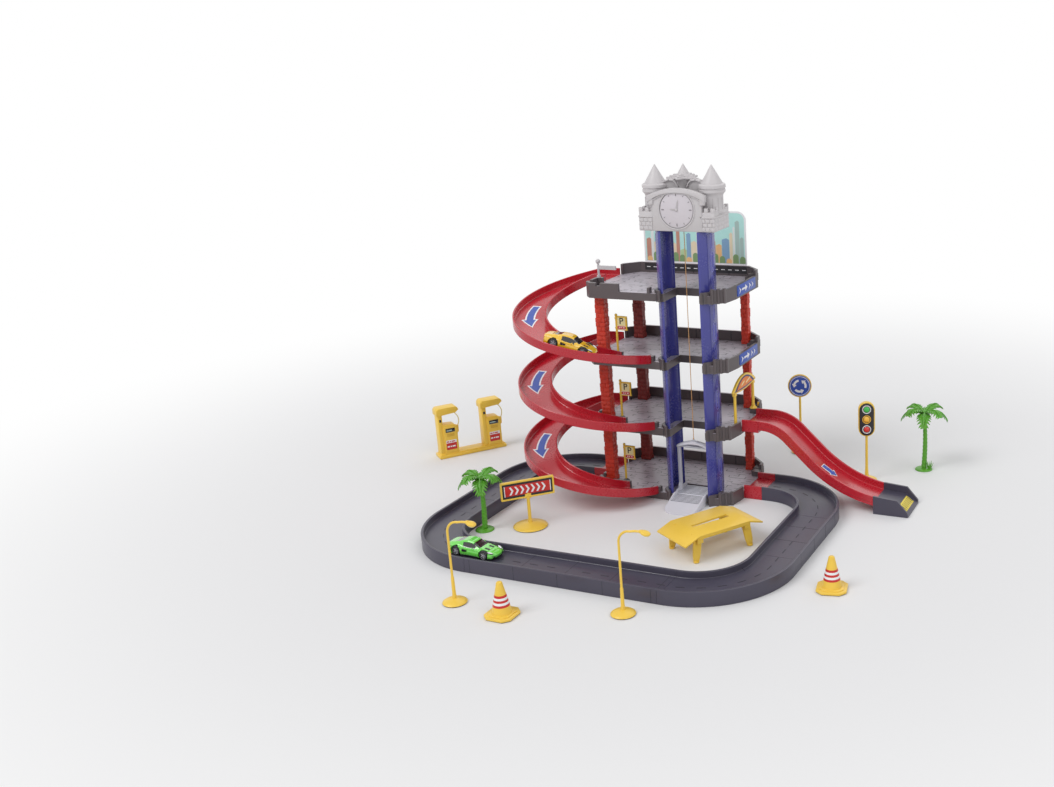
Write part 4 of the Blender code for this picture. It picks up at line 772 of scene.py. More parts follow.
def makeSlide():
    joint = deck["halfWidth"] + slide["start"]
    top = sweep("slideTop", channel(road["width"], slide["wall"], slide["kerb"], 2 * slide["floor"]),
                slideStretch(deck["halfWidth"] + 0.0003, joint - road["gap"]))
    chute = sweep("slideChute", channel(road["width"], slide["wall"], slide["kerb"], slide["floor"]),
                  slideStretch(joint + road["gap"], slide["endFrom"] + slide["kerb"]))
    past = slide["endFrom"] - road["gap"]
    carve(chute, block("past", (past, -0.1, -0.1), (past + 0.1, 0.1, 0.2)))
    for piece, name in ((top, "slide_start"), (chute, "slide_chute")):
        give(piece, "ramp")
        finishPiece(piece, garage, [name])
    # a moulded line runs along the outside of the chute, below its kerb
    lines = []
    for side in (-1, 1):
        stretch = slideStretch(joint + 0.002, past - 0.002)
        path = [(x, side * (road["width"] / 2 - 0.00005), z + 0.0008) for x, _, z in stretch]
        lines.append(tube("line", path, 0.00035))
    for line in lines:
        give(line, "rampDark")
    finishPiece(join("slideLines", lines), garage)
    marks = []
    middle, tilt = 0.2105, math.atan2(slideHeight(0.216) - slideHeight(0.205), 0.011)
    for outline, thick, finish in ((ramp["arrowWhite"], 0.0003, "white"), (ramp["arrowBlue"], 0.0006, "arrowBlue")):
        mark = plate("arrow", [(0.42 * along, 0.80 * across) for along, across in outline], 0, thick)
        mark.data.transform(Matrix.Translation((middle, 0, slideHeight(middle) + 0.0003))
                            @ Matrix.Rotation(-tilt, 4, "Y"))
        marks.append(give(mark, finish))
    finishPiece(join("slideArrow", marks), garage)
    # the end piece: lane dashes and a striped sticker on its lip
    marks = []
    for y in (-0.0085, 0.0085):
        dash = block("dash", (0.2835, y - 0.0005, 0), (0.2925, y + 0.0005, 0.0003))
        dash.data.transform(Matrix.Translation((0, 0, slideHeight(0.288) - 0.0001)))
        marks.append(give(dash, "lane"))
    lipStart = slide["endTo"] - slide["lip"]
    lean = math.atan2(0.0100, slide["lip"])
    slope = Matrix.Translation((lipStart, 0, deck["thick"] + 0.0022)) @ Matrix.Rotation(lean, 4, "Y")
    sticker = block("sticker", (0.0008, -0.0175, 0), (0.0125, 0.0175, 0.0004), 0.0001)
    sticker.data.transform(slope)
    marks.append(give(sticker, "stickerYellow"))
    for index in range(7):
        y = -0.0150 + 0.005 * index
        stripe = block("stripe", (0.0022, y - 0.0007, 0.0003), (0.0111, y + 0.0007, 0.0005))
        stripe.data.transform(slope)
        marks.append(give(stripe, "lane"))
    finishPiece(join("slideEndMarks", marks), garage)


makeRamps()
makeRoads()
makeSlide()
print("ramps, roads and slide ready")


# Towers and columns

tower = {
    "left": 0.0148,
    "right": 0.0645,
    "reach": 0.0102,
    "corner": 0.0072,
    "wall": 0.0020,
    "depth": 0.0384,
    "front": -0.065,
    "ovalHalf": 0.0048,
    "ovalTall": 0.0125,
    "slotHalf": 0.0022,
    "slotTall": 0.0095,
}


def towerOutline():
    front, back = tower["front"], tower["front"] + tower["depth"]
    web, corner, wall = tower["left"] - tower["reach"], tower["corner"], tower["wall"]
    inner = corner - wall * (2 - math.sqrt(2))
    outside = [(tower["left"], front), (web + corner, front), (web, front + corner), (web, back - corner),
               (web + corner, back), (tower["left"], back)]
    inside = [(tower["left"], back - wall), (web + wall + inner, back - wall), (web + wall, back - wall - inner),
              (web + wall, front + wall + inner), (web + wall + inner, front + wall), (tower["left"], front + wall)]
    return outside + inside


def makeTowers():
    middle = (tower["left"] + tower["right"]) / 2
    mouldings = []
    for level in range(4):
        low, high = nodeBox(f"tower_left_{level + 1}")
        for hand, sign in (("left", 1), ("right", -1)):
            outline = towerOutline()
            if sign < 0:
                outline = [(2 * middle - x, y) for x, y in outline[::-1]]
            piece = plate(f"tower{hand.title()}{level + 1}", outline, low[2], high[2], edge=0.0006)
            give(piece, "tower")
            finishPiece(piece, garage, [f"tower_{hand}_{level + 1}"])
            web = middle - sign * (middle - tower["left"] + tower["reach"])
            centre = tower["front"] + tower["depth"] / 2
            tall = high[2] - low[2]
            panel = block("panel", (min(web, web - sign * 0.0006), centre - 0.0115, low[2] + 0.004),
                          (max(web, web - sign * 0.0006), centre + 0.0115, high[2] - 0.004), 0.0003)
            mouldings.append(give(panel, "tower"))
            out = web - sign * 0.0006
            marks = [(low[2] + 0.50 * tall, tower["ovalHalf"], tower["ovalTall"]),
                     (low[2] + 0.50 * tall, 0.5 * tower["ovalHalf"], 0.72 * tower["ovalTall"])]
            marks += [(low[2] + share * tall, tower["slotHalf"], tower["slotTall"]) for share in (0.17, 0.83)]
            # the oval and slot mouldings are lighter blue, painted highlight on their raised edges
            for z, half, reach in marks:
                loop = roundedBox(centre - half, z - reach, centre + half, z + reach, 0.99 * half, 8)
                mouldings.append(give(tube("moulding", [(out, y, up) for y, up in loop], 0.00045, closed=True),
                                      "towerPaintedHighlight"))
    finishPiece(join("towerMouldings", mouldings), garage)


def makeColumns():
    rows, jitter = 13, (0.0, 0.00055, 0.0002, 0.0007, 0.0001, 0.0005, 0.0003)
    # the rear left column takes the darker red, painted shade; the other two keep the plain red
    for corner, finish in (("front_left", "column"), ("rear_left", "columnDark"), ("rear_right", "column")):
        low, high = nodeBox(f"column_{corner}_1")
        half = ((high[0] - low[0]) / 2, (high[1] - low[1]) / 2)
        tall = high[2] - low[2]
        bricks = [block("core", (-half[0] + 0.0011, -half[1] + 0.0011, 0),
                        (half[0] - 0.0011, half[1] - 0.0011, tall))]
        course = tall / rows
        for row in range(rows):
            bottom, top = row * course + 0.00015, (row + 1) * course - 0.00015
            split = 0.28 if row % 2 else -0.24
            for index, (x0, x1) in enumerate(((-1, split), (split, 1))):
                for side, (y0, y1) in enumerate(((-1, -split * 0.7), (-split * 0.7, 1))):
                    shy = jitter[(3 * row + 2 * index + 5 * side) % len(jitter)]
                    left = x0 * half[0] + (shy if x0 == -1 else 0.00012)
                    right = x1 * half[0] - (shy if x1 == 1 else 0.00012)
                    front = y0 * half[1] + (shy if y0 == -1 else 0.00012)
                    back = y1 * half[1] - (shy if y1 == 1 else 0.00012)
                    bricks.append(block("brick", (left, front, bottom), (right, back, top), 0.0005))
        for brick in bricks:
            give(brick, finish)
        first = join("column", bricks)
        for level in range(3):
            name = f"column_{corner}_{level + 1}"
            low, high = nodeBox(name)
            piece = copyOf(first, ((low[0] + high[0]) / 2, (low[1] + high[1]) / 2, low[2]))
            piece.name = name.replace("column_", "brickColumn_")
            finishPiece(piece, garage, [name])
        bpy.data.objects.remove(first)


makeTowers()
makeColumns()
print("towers and columns ready")


# Plates, signs and trims on the decks

def makeParkingSigns():
    # frame, panel, letter and label on both faces of the plate
    width, low, high, thick = 0.016, 0.033, 0.052, 0.0008
    parts = [give(plate("frame", roundedBox(0, low, width, high, 0.0022), -thick - 0.0002, thick + 0.0002, "Y",
                        0.0003),
                  "yellow")]
    for side in (-1, 1):
        face = side * (thick + 0.0002)
        near, far = sorted((face, face + side * 0.0003))
        parts.append(give(plate("panel", roundedBox(0.0022, low + 0.0068, width - 0.0022, high - 0.0018, 0.0010),
                                near, far, "Y"),
                          "cream"))
        parts.append(give(plate("label", roundedBox(0.0020, low + 0.0016, width - 0.0020, low + 0.0058, 0.0006),
                                near, far, "Y"),
                          "redPrint"))
        nearMark, farMark = sorted((face, face + side * 0.0005))
        rim = [(0.0017, low + 0.0013), (width - 0.0017, low + 0.0061)]
        for (x0, z0), (x1, z1) in (((rim[0][0], rim[0][1]), (rim[1][0], rim[0][1] + 0.0005)),
                                   ((rim[0][0], rim[1][1] - 0.0005), (rim[1][0], rim[1][1]))):
            parts.append(give(block("rim", (x0, nearMark, z0), (x1, farMark, z1)), "white"))
        for index, long in enumerate((0.0020, 0.0014, 0.0024)):
            x = 0.0040 + index * 0.0030
            parts.append(give(block("word", (x, nearMark, low + 0.0032), (x + long, farMark, low + 0.0043)),
                              "white"))
        letter = give(lettering("letter", "P", 0.0125, 0.0005), "dark")
        if side > 0:
            letter.data.transform(Matrix.Rotation(math.pi, 4, "Z"))
        letter.data.transform(Matrix.Translation((width / 2, face + side * 0.0004, low + 0.0122)))
        parts.append(letter)
    parts.append(give(ball("knob", (0, 0, high + 0.0012), 0.0019), "yellow"))
    for z in (high - 0.003, low + 0.003):
        parts.append(give(rod("clip", (0, 0, z - 0.001), (0, 0, z + 0.001), 0.0021, sides=20, edge=0.0003),
                          "yellow"))
    parts.append(give(turned("foot", [(0, 0.0042), (0.0024, 0.0040), (0.0032, 0.0026), (0.0046, 0.0020),
                                      (0.0048, 0), (0, 0)]),
                      "trim"))
    first = join("parkingSign", parts)
    for level in range(3):
        piece = copyOf(first, (-0.0675, -0.0415, deck["floors"][level]))
        piece.name = f"parkingSign{level + 1}"
        finishPiece(piece, garage)
    bpy.data.objects.remove(first)


def makeArchSign():
    x, low = 0.0935, deck["floors"][1] + 0.043
    half, rise = 0.039, 0.0155

    def leaf(inset):
        wide = half - 2.2 * inset
        points = []
        for step in range(25):
            share = -1 + step / 12
            points.append((share * wide, low + 0.004 * share * share + inset * (1 - abs(share) ** 3)))
        for step in range(23, 0, -1):
            share = -1 + step / 12
            points.append((share * wide,
                           low + 0.005 + rise * (1 - share * share) - inset * (1 - 0.3 * share * share)))
        return points

    parts = [give(plate("rim", leaf(0), x - 0.0014, x + 0.0014, "X", 0.0004), "yellow")]
    for side in (-1, 1):
        for inset, out, finish in ((0.0022, 0.0017, "navy"), (0.0042, 0.0020, "orangePrint")):
            near, far = sorted((x + side * 0.0013, x + side * out))
            parts.append(give(plate("face", leaf(inset), near, far, "X"), finish))
        for y, long in ((-0.012, 0.010), (0.004, 0.014)):
            near, far = sorted((x + side * 0.0013, x + side * 0.0022))
            stroke = [(y, low + 0.0072), (y + long, low + 0.0108), (y + long, low + 0.0124), (y, low + 0.0092)]
            parts.append(give(plate("stroke", stroke, near, far, "X"), "cream"))
    for y, foot in ((-0.0315, deck["floors"][1]), (0.0315, deck["floors"][1] + 0.007)):
        parts.append(give(rod("post", (x, y, foot), (x, y, low + 0.005), 0.0021, 0.0018, 24), "yellow"))
        parts.append(give(turned("foot", [(0, 0.0034), (0.0030, 0.0032), (0.0036, 0.0018), (0.0048, 0.0012),
                                          (0.0050, 0), (0, 0)], x, y, foot),
                          "yellow"))
        parts.append(give(block("bracket", (x - 0.0020, y - 0.0034, low - 0.0012),
                                (x + 0.0020, y + 0.0034, low + 0.0022), 0.0005),
                          "yellow"))
    finishPiece(join("archSign", parts), garage)


def makeSidePlates():
    # blue plates with white arrow marks on the right edge of the two upper decks
    for level in (2, 3):
        low = deck["floors"][level] - 0.0078
        high, front, back = low + 0.0140, -0.0270, 0.0350
        x = deck["halfWidth"]
        parts = [give(plate("plate", roundedBox(front, low, back, high, 0.0020), x - 0.0002, x + 0.0007, "X",
                            0.0002), "arrowBlue")]
        middle = (low + high) / 2
        marks = [
            [(-0.0215, middle - 0.0042), (-0.0150, middle), (-0.0215, middle + 0.0042), (-0.0185, middle)],
            [(-0.0120, middle - 0.0012), (-0.0010, middle - 0.0012), (-0.0010, middle - 0.0042), (0.0060, middle),
             (-0.0010, middle + 0.0042), (-0.0010, middle + 0.0012), (-0.0120, middle + 0.0012)],
            [(0.0110, middle - 0.0042), (0.0170, middle), (0.0110, middle + 0.0042), (0.0138, middle)],
            [(0.0200, middle - 0.0042), (0.0260, middle), (0.0200, middle + 0.0042), (0.0228, middle)]]
        for mark in marks:
            parts.append(give(plate("mark", mark, x + 0.0005, x + 0.0010, "X"), "white"))
        finishPiece(join(f"sidePlate{level}", parts), garage)


def makeTrims():
    # pale rims on the rear parapets, painted highlight; dark ribs inside the rear parapets and dark seams on the
    # front by the towers
    parts = []
    half, back, corner, thick = deck["halfWidth"], deck["halfDepth"], 0.019, 0.003
    for floor in deck["floors"]:
        z = floor + deck["rearParapet"]
        rim = [(half - corner, back), (-half + corner, back), (-half, back - corner),
               (-half + thick, back - corner), (-half + corner + 0.0012, back - thick),
               (half - corner - 0.0012, back - thick)]
        inner = [(x * 0.997, y * 0.997) for x, y in rim]
        # the pale rim along the parapet top is a painted highlight
        strip = plate("rim", inner, z, z + 0.0003, edge=0.0001)
        parts.append(give(strip, "deckRimPaintedHighlight"))
        for x in (-0.052, 0.0, 0.052):
            parts.append(give(block("rib", (x - 0.0006, back - thick - 0.0004, floor + 0.001),
                                    (x + 0.0006, back - thick + 0.0002, z - 0.001), 0.0002), "trim"))
    for seamX in (0.0072, 0.0721):
        for level in (1, 2, 3):
            floor = deck["floors"][level]
            parts.append(give(block("seam", (seamX - 0.0003, -0.06968, floor - 0.0098),
                                    (seamX + 0.0003, -0.0693, floor + 0.0040)),
                              "lane"))
    finishPiece(join("deckTrims", parts), garage)


makeParkingSigns()
makeArchSign()
makeSidePlates()
makeTrims()
print("deck signs and trims ready")


# The castle head, its clock and the card behind it

head = {
    "left": -0.013,
    "right": 0.0893,
    "front": -0.065,
    "back": -0.0194,
    "low": 0.360,
    "top": 0.384,
    "wall": 0.0035,
    "parapet": 0.005,
    "stone": (0.0062, 0.0047),
    "courses": 3,
    "stringCourse": 0.0168,
    "merlon": 0.0062,
    "clock": (0.03965, 0.387),
    "clockRadius": 0.024,
    "gableHalf": 0.0385,
    "gableSide": 0.404,
    "gableTop": 0.413,
    "turretY": -0.043,
    "turretRadius": 0.0135,
    "ring": 0.0170,
    "tip": 0.440,
}


def headSides():
    left, right, front, back = head["left"], head["right"], head["front"], head["back"]
    low, top, wall = head["low"], head["top"], head["wall"]
    middle = head["clock"][0]
    shell = block("shell", (left, front, low), (right, back, top), 0.0006)
    carve(shell, block("pocket", (middle - 0.0246, front + wall, low - 0.01),
                       (middle + 0.0246, back - wall, top - 0.001)))
    bore = rod("bore", (lift["drumX"], back - wall - 0.002, lift["drumZ"]),
               (lift["drumX"], back + 0.002, lift["drumZ"]), 0.0025, sides=24)
    carve(shell, bore)
    parts = [shell]

    # corner masonry: three courses in running bond on the front, and on both sides
    width, tall = head["stone"]
    for row in range(head["courses"]):
        z = low + 0.0010 + row * (tall + 0.0004)
        shift = 0.5 if row % 2 else 0.0
        joints = (0, 0.5, 1.5, 2.5, 3) if row % 2 else (0, 1, 2, 3)
        for first, second in zip(joints, joints[1:]):
            for start, sign in ((left, 1), (right, -1)):
                x0, x1 = sorted((start + sign * (first * width + (0.0002 if first else 0)),
                                 start + sign * (second * width - 0.0004)))
                parts.append(block("stone", (x0, front - 0.0007, z), (x1, front + 0.001, z + tall), 0.0005))
        for index in range(5):
            y0 = front + 0.0012 + index * 0.0088 + shift * 0.003
            y1 = min(y0 + 0.0083, back - 0.0006)
            for x0, x1 in ((left - 0.0003, left + 0.001), (right - 0.001, right + 0.0003)):
                parts.append(block("stone", (x0, y0, z), (x1, y1, z + tall), 0.0004))
    # string course and battlements round the sides
    z, z1 = low + head["stringCourse"], low + head["stringCourse"] + 0.0022
    for x0, x1 in ((left, left + 0.0190), (right - 0.0190, right)):
        parts.append(block("course", (x0 - 0.0002, front - 0.0012, z), (x1, front + 0.001, z1), 0.0005))
    for x in (left, right):
        parts.append(block("course", (x - 0.0010, front - 0.0004, z), (x + 0.0010, back, z1), 0.0005))
    parts.append(block("course", (left, back - 0.001, z), (right, back, z1), 0.0005))
    merlon, seat, tip = head["merlon"], top - 0.001, top + head["parapet"]
    for start, sign in ((left, 1), (right, -1)):
        for index in range(3):
            near = start + sign * index * 1.4 * merlon
            x0, x1 = sorted((near, near + sign * merlon * 0.8))
            for y0, y1 in ((front, front + wall), (back - wall, back)):
                parts.append(block("merlon", (x0, y0, seat), (x1, y1, tip), 0.0005))
        x0, x1 = sorted((start, start + sign * wall))
        for index in range(1, 4):
            y = front + index * 1.6 * merlon
            parts.append(block("merlon", (x0, y, seat), (x1, y + merlon, tip), 0.0005))
        x0, x1 = sorted((start, start + sign * 0.5 * wall))
        parts.append(block("wall", (x0, front + 0.002, seat), (x1, back - 0.002, top + 0.0022), 0.0004))
    for index in range(6):
        x = left + 0.026 + index * 0.0092
        parts.append(block("merlon", (x, back - wall, seat), (x + 0.0052, back, tip), 0.0005))
    return parts


def gableLine(half, steps, lift):
    # the gable's arch from right to left
    side, top = head["gableSide"], head["gableTop"]
    shares = [step / steps for step in range(steps, -steps - 1, -1)]
    return [(head["clock"][0] + share * half, side + (top - side) * (1 - share ** 2) + lift) for share in shares]


def headFront():
    # front panel with an arched gable under a thick eave
    front, low, wall, half = head["front"], head["low"], head["wall"], head["gableHalf"]
    middle = head["clock"][0]
    inner = half - 0.0052
    panel = [(middle - inner, low + 0.0008), (middle + inner, low + 0.0008), *gableLine(inner, 10, -0.0008)]
    parts = [plate("panel", panel, front - 0.0012, front + wall, "Y", 0.0004)]
    outer = gableLine(half, 12, 0.0004)
    under = [(x, z - 0.0052 - 0.0028 * abs((x - middle) / half) ** 3) for x, z in outer[::-1]]
    parts.append(plate("eave", outer + under, front - 0.0036, front + wall, "Y", 0.0007))
    lower = [(middle + (x - middle) * 0.94, z + 0.0002) for x, z in under]
    parts.append(plate("eaveBand", lower + [(x, z - 0.0016) for x, z in lower[::-1]], front - 0.0024,
                       front + 0.001, "Y", 0.0003))
    for sign in (-1, 1):
        x = middle + sign * (half - 0.0036)
        parts.append(block("corbel", (x - 0.0030, front - 0.0030, head["gableSide"] - 0.0110),
                           (x + 0.0030, front + 0.002, head["gableSide"] - 0.0030), 0.0006))
    return parts


def headClock():
    # clock: raised rim, thin dark line, hour marks and two hands
    middle, clockZ = head["clock"]
    radius = head["clockRadius"]
    face = head["front"] - 0.0012
    inset = radius - 0.0013
    dial = [give(tube("rim", ring(middle, face - 0.0004, clockZ, radius, radius, 96), 0.0009, closed=True), "head"),
            give(tube("line", ring(middle, face - 0.0001, clockZ, inset, inset, 96), 0.00035, closed=True),
                 "headLine"),
            give(rod("dial", (middle, face + 0.001, clockZ), (middle, face - 0.0004, clockZ), radius - 0.0022,
                     sides=96, edge=0.0003),
                 "headDial"),
            give(rod("hub", (middle, face, clockZ), (middle, face - 0.0016, clockZ), 0.0016, sides=24,
                     edge=0.0003), "head")]
    for hour in range(12):
        turn = math.tau * hour / 12
        long = 0.0034 if hour % 3 == 0 else 0.0020
        mark = block("mark", (-0.0004 - 0.0002 * (hour % 3 == 0), -0.0003, radius - 0.0036 - long),
                     (0.0004 + 0.0002 * (hour % 3 == 0), 0.0002, radius - 0.0036), 0.0001)
        mark.data.transform(Matrix.Translation((middle, face - 0.0005, clockZ)) @ Matrix.Rotation(turn, 4, "Y"))
        dial.append(give(mark, "headLine"))
    for long, wide, degrees in ((0.0125, 0.0011, 12), (0.0090, 0.0013, -88)):
        hand = plate("hand", [(-wide, -0.002), (wide, -0.002), (0.7 * wide, 0.8 * long), (0, long),
                              (-0.7 * wide, 0.8 * long)],
                     -0.0010, -0.0005, "Y")
        hand.data.transform(Matrix.Translation((middle, face, clockZ)) @ Matrix.Rotation(math.radians(degrees), 4,
                                                                                         "Y"))
        # the hands are in the darker head grey, painted shade
        dial.append(give(hand, "headPaintedShade"))
    return dial


def headTurrets():
    # turrets with banded rings and fluted shafts
    seat, ringLow = head["top"] - 0.002, head["low"] + 0.045
    parts = []
    for sign in (-1, 1):
        x = head["clock"][0] + sign * head["gableHalf"]
        r, wide = head["turretRadius"], head["ring"]
        profile = [(0, head["tip"]), (0.0006, head["tip"] - 0.0006), (wide - 0.0036, ringLow + 0.0126),
                   (wide - 0.0034, ringLow + 0.0118), (wide - 0.0012, ringLow + 0.0114),
                   (wide - 0.0002, ringLow + 0.0104), (wide, ringLow + 0.0090), (wide, ringLow + 0.0068),
                   (wide - 0.0012, ringLow + 0.0062), (wide - 0.0012, ringLow + 0.0050),
                   (wide - 0.0004, ringLow + 0.0044), (wide - 0.0004, ringLow + 0.0016),
                   (wide - 0.0014, ringLow + 0.0006), (r + 0.0006, ringLow - 0.0012), (r, ringLow - 0.0030),
                   (r, seat + 0.0030), (r + 0.0010, seat + 0.0022), (r + 0.0010, seat), (0, seat)]
        turret = turned("turret", profile, x, head["turretY"], 0, 56)
        parts.append(give(turret, "head"))
        for step in range(5):
            angle = math.radians(-90 + sign * 24 + 30 * (step - 2))
            px, py = x + (r + 0.0001) * math.cos(angle), head["turretY"] + (r + 0.0001) * math.sin(angle)
            # the flutes are darker lines, painted shade in the grooves
            groove = give(rod("flute", (px, py, seat + 0.004), (px, py, ringLow - 0.005), 0.00045, sides=10),
                          "headPaintedShade")
            parts.append(groove)
    return parts


def headTower():
    # the middle tower under a star shaped eave in three layers
    low, back, seat = head["low"], head["back"], head["top"] - 0.002
    x, y = head["clock"][0] - 0.003, head["front"] + 0.030
    # the shaft under the star eave is in the darker grey, painted shade
    shaft = turned("shaft", [(0, low + 0.063), (0.0098, low + 0.063), (0.0100, seat), (0, seat)], x, y, 0, 48)
    parts = [give(shaft, "headPaintedShade")]
    star = []
    for index in range(10):
        reach = 0.0125 if index % 2 else 0.0223
        angle = math.radians(198 + 36 * index)
        if math.sin(angle) * reach + y < back - 0.0006:
            star.append((x + reach * math.cos(angle), y + reach * math.sin(angle)))
        else:
            star.append((x + reach * math.cos(angle), back - 0.0006))
    for rise, thick, shrink in ((0.0615, 0.0026, 1.0), (0.0638, 0.0022, 0.80), (0.0656, 0.0020, 0.60)):
        layer = [(x + shrink * (px - x), y + shrink * (py - y)) for px, py in star]
        parts.append(give(plate("eave", layer, low + rise, low + rise + thick, edge=0.0007), "head"))
    cap = turned("cap", [(0, low + 0.0800), (0.0006, low + 0.0794), (0.0078, low + 0.0672), (0.0080, low + 0.0640),
                         (0, low + 0.0640)],
                 x, y, 0, 48)
    return parts + [give(cap, "head")]


def headWings():
    # ribbed arched wings between the turrets and the tower
    middle, half, seat, y = head["clock"][0], head["gableHalf"], head["top"] - 0.002, head["turretY"]
    parts = []
    for sign in (1, -1):
        turretX, reach = middle - sign * half, half - 0.010
        high, rise, thick = head["low"] + 0.0530, 0.0090, 0.0052
        curve = []
        for step in range(15):
            share = step / 14
            curve.append((turretX + sign * (0.004 + reach * share),
                          high + rise * math.sin(math.pi * (1 - share) ** 0.7)))
        base = [(turretX + sign * (0.004 + reach), seat), (turretX + sign * 0.004, seat)]
        outline = curve + base
        screen = plate("wing", outline if sign < 0 else outline[::-1], y - thick / 2, y + thick / 2, "Y", 0.0005)
        # the wing screen under its hood is in the darker grey, painted shade
        parts.append(give(screen, "headPaintedShade"))
        roof = [(px, pz + 0.0004) for px, pz in curve]
        hood = roof + [(px, pz - 0.0022) for px, pz in roof[::-1]]
        hood = plate("hood", hood, y - thick / 2 - 0.0020, y + thick / 2 + 0.0020, "Y", 0.0004)
        parts.append(give(hood, "head"))
        for step in (2, 5, 8, 11):
            px, pz = curve[step]
            rib = block("rib", (px - 0.0007, y - thick / 2 - 0.0026, pz - 0.0010),
                        (px + 0.0007, y + thick / 2 + 0.0026, pz + 0.0011), 0.0004)
            parts.append(give(rib, "head"))
    return parts


def makeHead():
    parts = [give(part, "head") for part in headSides() + headFront()]
    parts += headClock() + headTurrets() + headTower() + headWings()
    finishPiece(join("castleHead", parts), garage, ["head"])


card = {
    "left": -0.073,
    "right": 0.078,
    "low": 0.2943,
    "high": 0.3663,
    "y": 0.0635,
    "thick": 0.0006,
    "corner": 0.012,
    # buildings on the card: left edge, width, height over its low edge, colour
    "buildings": (
        (-0.069, 0.0070, 0.034, "cardRust"), (-0.062, 0.0042, 0.052, "cardWhite"),
        (-0.0575, 0.0055, 0.030, "cardSand"), (-0.052, 0.0050, 0.060, "cardWhite"),
        (-0.0465, 0.0085, 0.024, "cardGreen"), (-0.038, 0.0060, 0.044, "cardBlue"),
        (-0.0315, 0.0075, 0.028, "cardSand"), (-0.024, 0.0050, 0.050, "cardRust"),
        (-0.0185, 0.0095, 0.020, "cardGreen"), (-0.009, 0.0062, 0.042, "cardBlue"),
        (-0.0025, 0.0085, 0.031, "cardSand"), (0.006, 0.0046, 0.053, "cardWhite"),
        (0.011, 0.0090, 0.025, "cardGreen"), (0.020, 0.0070, 0.040, "cardOrange"),
        (0.0275, 0.0060, 0.033, "cardRust"), (0.034, 0.0085, 0.028, "cardOrange"),
        (0.043, 0.0105, 0.036, "cardBlue"), (0.054, 0.0045, 0.044, "cardSand"),
        (0.0590, 0.0030, 0.052, "cardWhite"), (0.0625, 0.0060, 0.060, "cardGrey"),
        (0.069, 0.0052, 0.038, "cardGrey")),
}


def makeCard():
    left, right, low, high, corner = (card[key] for key in ("left", "right", "low", "high", "corner"))
    y, thick = card["y"], card["thick"]

    def outline(inset):
        points = [(left + inset, low + inset), (right - inset, low + inset)]
        points += arc(right - corner, high - corner, corner - inset, 0, 90, 8)
        return points + arc(left + corner, high - corner, corner - inset, 90, 180, 8)

    parts = [give(plate("sheet", outline(0), y - thick, y + thick, "Y"), "white")]
    for side in (-1, 1):
        near, far = sorted((y + side * thick, y + side * (thick + 0.00012)))
        parts.append(give(plate("sky", outline(0.0024), near, far, "Y"), "cardSky"))
        for x0, width, tall, colour in card["buildings"]:
            near, far = sorted((y + side * thick, y + side * (thick + 0.00024)))
            x0 = max(x0, left + 0.003)
            building = [(x0, low + 0.0024), (x0 + width, low + 0.0024), (x0 + width, low + tall - 0.002),
                        (x0 + 0.6 * width, low + tall), (x0, low + tall - 0.002)]
            parts.append(give(plate("building", building, near, far, "Y"), colour))
        for index in range(15):
            near, far = sorted((y + side * thick, y + side * (thick + 0.00036)))
            x0 = left + 0.004 + index * 0.0098
            tall = 0.0065 + 0.0030 * ((index * 5) % 3)
            bush = arc(x0 + 0.0042, low + 0.0024 + tall - 0.0040, 0.0040, 0, 180, 8)
            parts.append(give(plate("bush", [(x0 + 0.0002, low + 0.0024), (x0 + 0.0082, low + 0.0024), *bush],
                                    near, far, "Y"),
                              "cardBush" if index % 3 else "cardOrange"))
    finishPiece(join("skylineCard", parts), garage, ["backdrop_card"])
    # a strip of road with white dashes on the parapet under the card
    floor, back = deck["floors"][3], deck["halfDepth"] - 0.003
    strip = [give(block("strip", (left, back - 0.0004, floor + 0.0035), (right, back + 0.0002, floor + 0.0128)),
                  "dark")]
    for index in range(15):
        x0 = left + 0.003 + index * 0.0101
        strip.append(give(block("dash", (x0, back - 0.0006, floor + 0.0075), (x0 + 0.0052, back, floor + 0.0085)),
                          "white"))
    finishPiece(join("cardStrip", strip), garage)


makeHead()
makeCard()
print("head and card ready")


# Lift, entry ramp, winch and cord

cage = {
    "left": 0.01615,
    "right": 0.06315,
    "front": -0.0600,
    "back": -0.0275,
    "floor": 0.010,
    "side": 0.0745,
    "rise": 0.0055,
    "post": 0.0040,
    "ribs": 8,
}


def ribbed(name, left, right, front, back, low, floor, ribs):
    # a floor plate whose ribs run across
    pitch = (back - front) / ribs
    outline = [(back, low), (front, low)]
    for index in range(ribs):
        y = front + index * pitch
        outline += [(y, floor - 0.0002), (y + 0.12 * pitch, floor), (y + 0.52 * pitch, floor),
                    (y + 0.64 * pitch, floor - 0.0011), (y + pitch - 0.0001, floor - 0.0011)]
    return plate(name, outline[::-1], left, right, "X", 0.0003)


